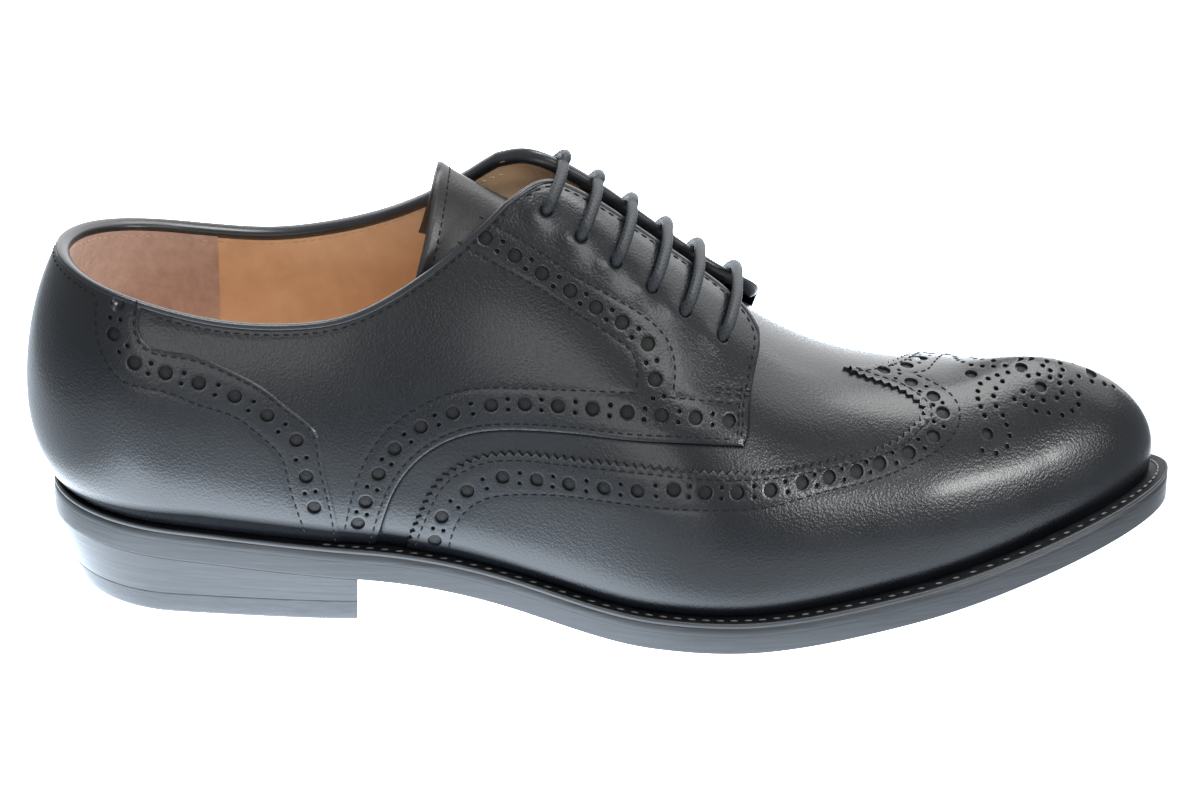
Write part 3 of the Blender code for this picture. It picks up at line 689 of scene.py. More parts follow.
@dataclass(frozen=True)
class Finish:
    """A finish: two tones, gloss, and a grain pressed into the surface.

    Attributes:
        name: The real material.
        dark: Colour in the hollows.
        light: Colour on the high spots.
        tone_mm: Size of the cloudy change between the two.
        roughness: Least and most roughness.
        grain_mm: Width of one grain.
        grain_depth_mm: Height of the grain.
        pore_mm: Width of the finer pores between the grains.
        coat: Weight of the polish.
        coat_roughness: Roughness of the polish.
        sheen: Weight of the nap.
        specular: Strength of the mirror part.
        stretch: How much shorter the pattern is along x, y and z.
        dulled_in_shade: Whether polish and mirror fade where the mesh marks painted shade.
    """

    name: str
    dark: str
    light: str
    tone_mm: float
    roughness: tuple[float, float]
    grain_mm: float
    grain_depth_mm: float
    pore_mm: float
    coat: float = 0.0
    coat_roughness: float = 0.3
    sheen: float = 0.0
    specular: float = 0.5
    stretch: tuple[float, float, float] = (1.0, 1.0, 1.0)
    dulled_in_shade: bool = False

    # Shares of the cloud where the two tones and the two gloss values begin and end, the height of
    # the pores beside the grain, and the share of the polish and mirror left in painted shade.
    TONES = (0.3, 0.72)
    GLOSSES = (0.3, 0.7)
    PORES = 0.6
    POLISH_IN_SHADE = 0.04

    @cache
    def make(self) -> Material:
        """Build the material, once.

        Returns:
            The material.
        """
        made, tree, shader = new_material(self.name)
        place = add_node(tree, "ShaderNodeTexCoord").outputs["Object"]
        place = add_node(tree, "ShaderNodeMapping", {
            "Vector": place, "Scale": self.stretch}).outputs[0]
        cloud = add_node(tree, "ShaderNodeTexNoise", {
            "Vector": place, "Scale": per_metre(self.tone_mm),
            "Detail": 5.0, "Roughness": 0.62}).outputs[0]
        tone = add_node(tree, "ShaderNodeValToRGB", {"Fac": cloud})
        for stop, at, code in zip(tone.color_ramp.elements, self.TONES, (self.dark, self.light)):
            stop.position, stop.color = at, hex_colour(code)
        gloss = add_node(tree, "ShaderNodeMapRange", {
            "Value": cloud, "From Min": self.GLOSSES[0], "From Max": self.GLOSSES[1],
            "To Min": self.roughness[0], "To Max": self.roughness[1]}).outputs[0]
        grain = add_node(tree, "ShaderNodeTexVoronoi", {
            "Vector": place, "Scale": per_metre(self.grain_mm), "Smoothness": 0.5},
            feature="SMOOTH_F1").outputs["Distance"]
        pores = add_node(tree, "ShaderNodeTexNoise", {
            "Vector": place, "Scale": per_metre(self.pore_mm), "Detail": 3.0}).outputs[0]
        relief = add_node(tree, "ShaderNodeMath", {0: pores, 1: self.PORES, 2: grain},
                          operation="MULTIPLY_ADD").outputs[0]
        bump = add_node(tree, "ShaderNodeBump", {
            "Height": relief, "Strength": 1.0, "Distance": self.grain_depth_mm * MM}).outputs[0]
        tree.links.new(tone.outputs[0], shader.inputs["Base Color"])
        tree.links.new(gloss, shader.inputs["Roughness"])
        tree.links.new(bump, shader.inputs["Normal"])
        polish = (("Coat Weight", self.coat), ("Specular IOR Level", self.specular))
        others = (("Coat Roughness", self.coat_roughness), ("Sheen Weight", self.sheen))
        for socket, value in polish + others:
            shader.inputs[socket].default_value = value
        # Painted shade: where the mesh marks it, polish and mirror fade to a small share, which
        # darkens it.
        if self.dulled_in_shade:
            shade_and_dull = add_node(tree, "ShaderNodeAttribute", attribute_name=SHADE_AND_DULL).outputs["Fac"]
            for socket, value in polish:
                rest = add_node(tree, "ShaderNodeMapRange", {
                    "Value": shade_and_dull, "To Min": value,
                    "To Max": value * self.POLISH_IN_SHADE}).outputs[0]
                tree.links.new(rest, shader.inputs[socket])
        return made


@dataclass(frozen=True)
class BraidFinish:
    """Waxed braid: the strands cross in small diamonds along the cord.

    Attributes:
        name: The real material.
        dark: Colour between the strands.
        light: Colour on the strands.
        strand_mm: Length of one diamond along the cord.
        strands: Diamonds round the cord.
        depth_mm: Height of the strands.
        roughness: Roughness of the wax.
    """

    name: str
    dark: str
    light: str
    strand_mm: float
    strands: int
    depth_mm: float
    roughness: float

    @cache
    def make(self) -> Material:
        """Build the material, once.

        Returns:
            The material.
        """
        made, tree, shader = new_material(self.name)
        place = add_node(tree, "ShaderNodeUVMap", uv_map="cord").outputs[0]
        waves = []
        for turn in (1.0, -1.0):
            spread = (turn * self.strands, 1.0 / self.strand_mm, 1.0)
            flow = add_node(tree, "ShaderNodeMapping", {
                "Vector": place, "Scale": spread}).outputs[0]
            waves.append(add_node(tree, "ShaderNodeTexWave", {
                "Vector": flow, "Scale": math.tau / 10.0},
                bands_direction="DIAGONAL").outputs["Fac"])
        braid = add_node(tree, "ShaderNodeMath", dict(enumerate(waves)),
                         operation="MAXIMUM").outputs[0]
        tone = add_node(tree, "ShaderNodeValToRGB", {"Fac": braid})
        for stop, code in zip(tone.color_ramp.elements, (self.dark, self.light)):
            stop.color = hex_colour(code)
        bump = add_node(tree, "ShaderNodeBump", {
            "Height": braid, "Strength": 0.9, "Distance": self.depth_mm * MM}).outputs[0]
        tree.links.new(tone.outputs[0], shader.inputs["Base Color"])
        tree.links.new(bump, shader.inputs["Normal"])
        shader.inputs["Roughness"].default_value = self.roughness
        return made


# Box calf, dyed through and waxed: near black with a satin polish over a fine pebbled grain. The
# grain is drawn a little coarser than the real half millimetre, so that it shows. Its polish fades
# where the mesh marks painted shade.
BLACK_CALF = Finish("black_box_calf", "#0c0d10", "#14161a", 22.0, (0.25, 0.32), 0.72, 0.066, 0.35,
                    coat=0.3, coat_roughness=0.18, dulled_in_shade=True)
# The same leather where it is folded over an edge: smoother and a little glossier.
FOLDED_CALF = Finish("black_calf_binding", "#1a1c20", "#26282c", 12.0, (0.28, 0.36), 0.6, 0.02, 0.3,
                     coat=0.3, coat_roughness=0.22)
# The tongue's softer calf: a brownish black with little polish.
TONGUE_CALF = Finish("soft_tongue_calf", "#171615", "#232120", 8.0, (0.34, 0.44), 0.7, 0.05, 0.35,
                     coat=0.15, coat_roughness=0.25)
# The same leather seen at the bottom of a punched hole: dusty and dull.
UNDERLAY_CALF = Finish("black_calf_underlay", "#131313", "#222121", 1.6, (0.42, 0.55), 0.5,
                       0.06, 0.25, specular=0.3)
# The same leather cut or punched through: the raw fibre is dull and a little greyer.
RAW_CALF = Finish("raw_edge_of_black_calf", "#17181b", "#2b2d31", 3.0, (0.6, 0.75), 0.5, 0.04,
                  0.25, specular=0.35)
# Top of the welt: dyed black and left dull.
WELT_BLACK = Finish("black_dyed_welt", "#0b0c0e", "#15171a", 3.0, (0.5, 0.65), 0.6, 0.03, 0.3,
                    specular=0.3)
# Edge of stacked sole leather, inked and burnished: satin grey with long fine scratches.
SOLE_EDGE = Finish("inked_sole_leather", "#1f2123", "#383a3d", 0.9, (0.36, 0.5), 1.1, 0.04, 0.5,
                   coat=0.2, coat_roughness=0.3, stretch=(0.06, 0.06, 1.0))
# Moulded rubber lift: duller than the leather above it, slightly gritty.
HEEL_RUBBER = Finish("moulded_black_rubber", "#232527", "#3a3c3f", 1.4, (0.42, 0.56), 0.9, 0.05,
                     0.4, coat=0.12, stretch=(0.2, 0.2, 1.0))
# Vegetable-tanned calf lining: warm tan, dull, with soft clouds.
TAN_CALF = Finish("tan_lining_calf", "#e0b68c", "#efcba4", 9.0, (0.5, 0.62), 0.8, 0.03, 0.3,
                  sheen=0.1)
# Suede heel grip: brown-taupe nap, no gloss, mottled where it was brushed.
TAUPE_SUEDE = Finish("taupe_suede", "#b79a8c", "#d0b5a6", 3.0, (0.85, 0.95), 0.7, 0.06, 0.3,
                     sheen=0.5)
# Waxed polyester thread: black on the seams, grey on the welt, pale on the lining.
BLACK_THREAD = Finish("black_waxed_thread", "#060708", "#0f1012", 1.5, (0.55, 0.65), 0.3, 0.02,
                      0.2, specular=0.25)
GREY_THREAD = Finish("grey_waxed_thread", "#4c4e52", "#77797c", 1.5, (0.5, 0.6), 0.3, 0.02, 0.2)
PALE_THREAD = Finish("pale_waxed_thread", "#c8a78a", "#dcc2a8", 1.5, (0.5, 0.6), 0.3, 0.02, 0.2)
# Waxed cotton braid: dull charcoal, with strands that cross in small diamonds.
WAXED_BRAID = BraidFinish("waxed_cotton_braid", "#1d2023", "#2f3337", 1.4, 6, 0.07, 0.55)


def mesh_piece(name: str, points: Array, faces: Iterable[Sequence[int]],
               finish: Finish | BraidFinish, sharp_degrees: float = 50.0, weld: bool = False,
               shade_and_dull: Array | None = None) -> Object:
    """An object with its place in its mesh.

    Args:
        name: Name of the piece.
        points: Points in millimetres.
        faces: Corners of each face.
        finish: Its finish.
        sharp_degrees: Edges that turn by more than this stay crisp.
        weld: Whether points that coincide become one.
        shade_and_dull: How deep the first points lie in painted shade; the others are clear.

    Returns:
        The object.
    """
    mesh = bpy.data.meshes.new(name)
    corners = [list(map(int, face)) for face in faces]
    mesh.from_pydata(((np.asarray(points) - ORIGIN) * MM).tolist(), [], corners)
    if shade_and_dull is not None:
        depth = np.zeros(len(mesh.vertices), np.float32)
        depth[:len(shade_and_dull)] = shade_and_dull
        mesh.attributes.new(SHADE_AND_DULL, "FLOAT", "POINT").data.foreach_set("value", depth)
    if weld:
        work = bmesh.new()
        work.from_mesh(mesh)
        bmesh.ops.remove_doubles(work, verts=work.verts, dist=WELD_DISTANCE)
        work.to_mesh(mesh)
        work.free()
    mesh.shade_smooth()
    mesh.set_sharp_from_angle(angle=math.radians(sharp_degrees))
    mesh.materials.append(finish.make())
    return new_object(name, mesh)


def settle(piece: Object, slot: str, *nodes: str) -> Object:
    """Give a finished piece its body, and hide the nodes that it stands for.

    Args:
        piece: The piece.
        slot: Material slot; not used.
        *nodes: Nodes that it replaces.

    Returns:
        The piece.
    """
    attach(piece, "root")
    if nodes:
        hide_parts(*nodes)
    LOG.info("%s: %d faces", piece.name, len(piece.data.polygons))
    return piece


def welt_shade_depth(last: "Last", places: Places) -> Array:
    """How deep places lie in the band above the welt: painted shade, partly leather that the polish
    misses.

    Args:
        last: The last.
        places: The places.

    Returns:
        1 or more in the band, 0 or less clear of it.
    """
    u, v = places.T
    reach = np.where(v < 0, -last.foot(u, Side.LATERAL), last.foot(u, Side.MEDIAL))
    top = np.interp(u, *np.array(WELT_SHADE_ROWS).T)
    return (top - reach + np.abs(v)) / WELT_SHADE_FADE


def sheet_faces(rows: int, count: int, closed: bool = False) -> list[tuple[int, int, int, int]]:
    """Quads between neighbouring rows of points.

    Args:
        rows: Number of rows.
        count: Points in a row.
        closed: Whether each row closes on itself.

    Returns:
        The faces.
    """
    faces = []
    for k in range(rows - 1):
        for i in range(count if closed else count - 1):
            j = (i + 1) % count
            faces.append((k * count + i, k * count + j, (k + 1) * count + j, (k + 1) * count + i))
    return faces


def within(polygon: Array, points: Array) -> Array:
    """Which flat points lie inside a polygon.

    Args:
        polygon: Corners.
        points: Points to test.

    Returns:
        True for each point inside.
    """
    inside = np.zeros(len(points), bool)
    x, y = points[:, 0], points[:, 1]
    for (ax, ay), (bx, by) in zip(polygon, np.roll(polygon, -1, 0)):
        if ay != by:
            inside ^= ((ay > y) != (by > y)) & (x < (bx - ax) * (y - ay) / (by - ay) + ax)
    return inside


def nearest(points: Array, others: Array) -> Array:
    """Distance from each point to the nearest of some others.

    Args:
        points: Points to measure from.
        others: Points to measure to.

    Returns:
        The distances.
    """
    tree = kdtree.KDTree(len(others))
    for i, point in enumerate(others):
        tree.insert(point, i)
    tree.balance()
    return np.array([tree.find(point)[2] for point in points], float)


class Surface(Enum):
    """Material places of a panel: its face, what is cut, and the floors of its big holes."""

    FACE = 0
    CUT = 1
    FLOOR = 2


@dataclass
class Panel:
    """A cut piece of leather laid on the last, with punched holes and stitch grooves.

    Attributes:
        last: The last.
        outline: Places round the panel.
        lift: Height of its face above the last.
        thickness: Most depth of its cut edge.
        edge_round: How far the edge is rounded down.
    """

    last: Last
    outline: Places
    lift: Field
    thickness: float = 1.5
    edge_round: float = 0.22
    rings: list[Places] = field(default_factory=list)
    spots: list[Places] = field(default_factory=list)
    sinks: list[Array] = field(default_factory=list)
    centres: list[tuple[Places, float, float]] = field(default_factory=list)

    # Two rings round a hole, the rounding of its rim, and the share of the first ring kept clear.
    RIM, LEVEL, RIM_ROUND, RIM_CLEAR = 0.26, 0.75, 0.06, 0.8
    # Depth of big holes and of others, the radius that counts as big, and the dome of a floor.
    HOLE_DEPTH, DOT_DEPTH, BIG_RADIUS, FLOOR_DOME = 0.85, 1.1, 1.9, 0.35
    # Width and sink of the band along the edge; depth, step and tuck of the edge below the face.
    BAND, BAND_SINK, EDGE_BELOW, EDGE_STEP, EDGE_TUCK = 0.5, 0.04, 0.35, 0.7, 0.9
    # Least distances along the outline, from it, and of the fill, as a share of its spacing.
    LEAST_STEP, OUTLINE_CLEAR, FILL_CLEAR = 0.12, 0.33, 0.62
    # Depth of a stitch groove and the width of its flanks.
    GROOVE, FLANK = 0.1, 0.75
    SHARP_DEGREES = 40.0
    # A direction that no part of the leather faces.
    ASKEW = (0.36, 0.48, 0.8)

    def __post_init__(self) -> None:
        """Turn the outline counter-clockwise and drop repeated places."""
        flat = self.last.flatten(self.outline)
        keep = np.linalg.norm(flat - np.roll(flat, 1, 0), axis=1) > self.LEAST_STEP
        self.outline, flat = self.outline[keep], flat[keep]
        x, y = flat.T
        if (x * np.roll(y, -1) - np.roll(x, -1) * y).sum() < 0:
            self.outline = self.outline[::-1]

    def circle(self, centre: Places, radius: float, corners: int) -> Places:
        """Places of a circle drawn on the leather.

        Args:
            centre: Its middle.
            radius: Its radius.
            corners: Number of places.

        Returns:
            The places, counter-clockwise.
        """
        middle = np.repeat(np.asarray(centre, float)[None], corners, 0)
        normal = self.last.out(middle)
        first = unit(np.cross(normal, self.ASKEW))
        second = np.cross(normal, first)
        turn = np.linspace(0, math.tau, corners, endpoint=False)[:, None]
        return self.last.nudge(middle, radius * (np.cos(turn) * first + np.sin(turn) * second))

    def punch_row(self, holes: tuple[Sequence[float], ...],
                  turn: Callable[[Places], Places] = np.asarray,
                  joined: tuple[Sequence[float], ...] = ()) -> None:
        """Punch a row of big holes on one side, and small pairs between them and a joined hole."""
        self.punch(turn(holes), *BIG_HOLE)
        self.punch(turn(between(self.last, holes + joined)), *SMALL_HOLE)

    def punch(self, centres: Iterable[Sequence[float]], radius: float, corners: int) -> None:
        """Punch round holes.

        Args:
            centres: Middles of the holes.
            radius: Their radius.
            corners: Corners of each hole.
        """
        for centre in centres:
            self.rings.append(self.circle(centre, radius, corners))
            for ring in (self.RIM, self.LEVEL):
                self.spots.append(self.circle(centre, radius + ring, corners))
                self.sinks.append(np.zeros(corners))
            clear = radius + self.RIM * self.RIM_CLEAR
            self.centres.append((np.asarray(centre, float), radius, clear))

    def groove(self, path: Places) -> None:
        """Press a stitch groove into the face.

        Args:
            path: Places along it.
        """
        lines = (path, self.last.shifted(path, self.FLANK), self.last.shifted(path, -self.FLANK))
        for line, depth in zip(lines, (self.GROOVE, 0.0, 0.0)):
            self.spots.append(line)
            self.sinks.append(np.full(len(line), depth))

    def build(self, name: str, finish: Finish, lattice: Places) -> Object:
        """Triangulate the panel, and give it its edge and its holes.

        Args:
            name: Name of the piece.
            finish: Its finish.
            lattice: Evenly spread places to fill it with.

        Returns:
            The object.
        """
        last, count = self.last, len(self.outline)
        flat_outline = last.flatten(self.outline)
        border = last.at(self.outline)
        rim = np.concatenate(self.rings)
        spots = np.concatenate(self.spots + [last.shifted(self.outline, self.BAND)])
        sinks = np.concatenate(self.sinks + [np.full(count, self.BAND_SINK)])
        keep = within(flat_outline, last.flatten(spots)) & self._clear_of_holes(spots)
        keep &= nearest(last.at(spots), border) > self.OUTLINE_CLEAR
        spots, sinks = spots[keep], sinks[keep]
        taken = np.concatenate([border, last.at(rim), last.at(spots)])
        fill = lattice[within(flat_outline, last.flatten(lattice))]
        fill = fill[nearest(last.at(fill), taken) > self.FILL_CLEAR * LATTICE]
        fill = fill[self._clear_of_holes(fill)]
        places = np.concatenate([self.outline, rim, spots, fill])
        sink = np.concatenate([np.full(count, self.edge_round), np.full(len(rim), self.RIM_ROUND),
                               sinks, np.zeros(len(fill))])
        loops, start = [(0, count)], count
        for ring in self.rings:
            loops.append((start, len(ring)))
            start += len(ring)
        owner = np.full(len(places), -1)
        edges = []
        for k, (first, size) in enumerate(loops):
            owner[first:first + size] = k
            edges += [(first + i, first + (i + 1) % size) for i in range(size)]
        flat = last.flatten(places)
        found = geometry.delaunay_2d_cdt([Vector(p) for p in flat], edges, [], 0, 1e-5, True)
        source = np.array([ids[0] if ids else -1 for ids in found[3]])
        faces = source[np.array([f for f in found[2] if len(f) == 3])]
        faces = faces[(faces >= 0).all(1)]
        same = (owner[faces] == owner[faces][:, :1]).all(1) & (owner[faces][:, 0] > 0)
        faces = faces[~same & within(flat_outline, flat[faces].mean(1))]
        a, b, c = flat[faces[:, 0]], flat[faces[:, 1]], flat[faces[:, 2]]
        turned = (b - a)[:, 0] * (c - a)[:, 1] - (b - a)[:, 1] * (c - a)[:, 0] < 0
        faces[turned] = faces[turned][:, ::-1]
        height = self.lift(places[:, 0], places[:, 1])
        points = [last.at(places, height - sink)]
        corners = faces.tolist()
        face_count = len(corners)
        total = len(places)
        depth = np.minimum(height[:count] + self.EDGE_BELOW, self.thickness)
        tucked = last.shifted(self.outline, self.EDGE_TUCK)
        steps = ((self.outline, self.EDGE_STEP * depth), (self.outline, depth), (tucked, depth))
        for ring, drop in steps:
            points.append(last.at(ring, height[:count] - drop))
        levels = [np.arange(count), *(total + np.arange(len(steps) * count).reshape(-1, count))]
        for upper, lower in zip(levels, levels[1:]):
            corners += zip(np.roll(upper, -1), upper, lower, np.roll(lower, -1))
        total += len(steps) * count
        kinds = [Surface.FACE] * face_count + [Surface.CUT] * (len(corners) - face_count)
        for (first, size), (centre, radius, _) in zip(loops[1:], self.centres):
            ring = places[first:first + size]
            top = height[first:first + size]
            big = radius >= self.BIG_RADIUS
            depth = self.HOLE_DEPTH if big else self.DOT_DEPTH
            middle = self.lift(centre[None, 0], centre[None, 1])
            floor = last.at(centre[None], middle - depth + self.FLOOR_DOME)
            points += [last.at(ring, top - depth), floor]
            for i in range(size):
                j = (i + 1) % size
                corners.append((first + i, first + j, total + j, total + i))
                corners.append((total + i, total + j, total + size))
                kinds += [Surface.CUT, Surface.FLOOR if big else Surface.CUT]
            total += size + 1
        # The band above the welt is marked as painted shade, where the polish fades.
        made = mesh_piece(name, np.concatenate(points), corners, finish, self.SHARP_DEGREES,
                          shade_and_dull=welt_shade_depth(last, places))
        for cut in (RAW_CALF, UNDERLAY_CALF):
            made.data.materials.append(cut.make())
        places_of = np.array([kind.value for kind in kinds], np.int32)
        made.data.polygons.foreach_set("material_index", places_of)
        return made

    def _clear_of_holes(self, places: Places) -> Array:
        """Which places lie outside every hole and its rim.

        Args:
            places: Places to test.

        Returns:
            True for each clear place.
        """
        clear = np.ones(len(places), bool)
        points = self.last.at(places)
        for centre, _, reach in self.centres:
            clear &= np.linalg.norm(points - self.last.at(centre[None]), axis=1) > reach
        return clear


def between(last: Last, holes: Sequence[Sequence[float]]) -> Places:
    """Pairs of small holes across a row, halfway between its big holes.

    Args:
        last: The last.
        holes: Places of the big holes.

    Returns:
        Places of the small ones.
    """
    row = np.array(holes, float)
    middle = (row[:-1] + row[1:]) / 2
    along = last.at(row[1:]) - last.at(row[:-1])
    across = np.cross(last.out(middle), along)
    across *= DOT_SPREAD / np.linalg.norm(across, axis=-1, keepdims=True)
    return np.concatenate([last.nudge(middle, across), last.nudge(middle, -across)])


def facing_lift(u: Array, v: Array) -> Array:
    """How far the laced facings stand above the last."""
    fade = np.clip((np.abs(v) - FACING_FLAT) / (FACING_FADE - FACING_FLAT), 0, 1)
    rise = FACING_LIFT(station(u)) + np.where(np.asarray(v) > 0, FAR_FACING_LIFT(station(u)), 0.0)
    return rise * (1 - fade * fade * (3 - 2 * fade))


def under_facing(u: Array, v: Array) -> Array:
    """Height of the layers below the quarters, which follow the facings as far as the lining."""
    return facing_lift(u, v) * np.clip((LINED_TO - station(u)) / LINING_FADE, 0, 1)


@dataclass
class Stitches:
    """Stitches of one thread, set along seams by Geometry Nodes.

    Attributes:
        name: Name of the piece.
        finish: The thread.
        size: Length, width and height of a stitch.
        rows: Points of each row, with directions along the seam and out of the leather.
    """

    name: str
    finish: Finish
    size: tuple[float, float, float]
    rows: list[tuple[Array, Array, Array]] = field(default_factory=list)

    SIZES = ("Length", "Width", "Height")

    def sew(self, last: Last, path: Places, lift: Array | float,
            inwards: bool = False) -> None:
        """Add a row along a line of places, facing out of the leather or in towards the foot."""
        self.add(last.at(path, lift), last.out(path) * (-1 if inwards else 1))

    def add(self, points: Array, out: Array) -> None:
        """Add a row along a line of points."""
        self.rows.append((points, np.gradient(points, axis=0), out))

    def tree(self) -> NodeTree:
        """The node tree: a small bead on every point, turned along the seam.

        Returns:
            The tree.
        """
        tree = bpy.data.node_groups.new(f"{self.name}_sewing", "GeometryNodeTree")
        tree.interface.new_socket("Geometry", in_out="INPUT", socket_type="NodeSocketGeometry")
        for label in self.SIZES:
            tree.interface.new_socket(label, in_out="INPUT", socket_type="NodeSocketFloat")
        tree.interface.new_socket("Geometry", in_out="OUTPUT", socket_type="NodeSocketGeometry")
        given = add_node(tree, "NodeGroupInput").outputs
        out, along = (
            add_node(tree, "GeometryNodeInputNamedAttribute", {"Name": label},
                     data_type="FLOAT_VECTOR").outputs[0] for label in ("out", "along"))
        turn = add_node(tree, "FunctionNodeAxesToRotation", {
            "Primary Axis": out, "Secondary Axis": along}, primary_axis="Z", secondary_axis="X")
        bead = add_node(tree, "GeometryNodeMeshUVSphere", {
            "Segments": 6, "Rings": 5, "Radius": 0.5})
        scale = add_node(tree, "ShaderNodeCombineXYZ", {
            axis: given[label] for axis, label in zip("XYZ", self.SIZES)})
        set_on = add_node(tree, "GeometryNodeInstanceOnPoints", {
            "Points": given["Geometry"], "Instance": bead.outputs["Mesh"],
            "Rotation": turn.outputs[0], "Scale": scale.outputs[0]})
        real = add_node(tree, "GeometryNodeRealizeInstances", {"Geometry": set_on.outputs[0]})
        smooth = add_node(tree, "GeometryNodeSetShadeSmooth", {"Geometry": real.outputs[0]})
        dressed = add_node(tree, "GeometryNodeSetMaterial", {
            "Geometry": smooth.outputs[0], "Material": self.finish.make()})
        add_node(tree, "NodeGroupOutput", {"Geometry": dressed.outputs[0]})
        return tree

    def build(self) -> Object:
        """Sew all rows into one mesh.

        Returns:
            The object.
        """
        points, along, out = (np.concatenate(part) for part in zip(*self.rows))
        seam = bpy.data.meshes.new(f"{self.name}_points")
        seam.from_pydata(((points - ORIGIN) * MM).tolist(), [], [])
        for label, values in (("along", along), ("out", out)):
            held = seam.attributes.new(label, "FLOAT_VECTOR", "POINT")
            held.data.foreach_set("vector", values.ravel())
        made = new_object(self.name, seam)
        sewing = made.modifiers.new("Sewing", "NODES")
        tree = self.tree()
        sizes = dict(zip(self.SIZES, self.size))
        sewing.node_group = tree
        for item in tree.interface.items_tree:
            if item.in_out == "INPUT" and item.name in sizes:
                sewing[item.identifier] = sizes[item.name] * MM
        bpy.context.view_layer.update()
        ready = made.evaluated_get(bpy.context.evaluated_depsgraph_get())
        mesh = bpy.data.meshes.new_from_object(ready)
        made.modifiers.clear()
        made.data = mesh
        mesh.name = self.name
        return made


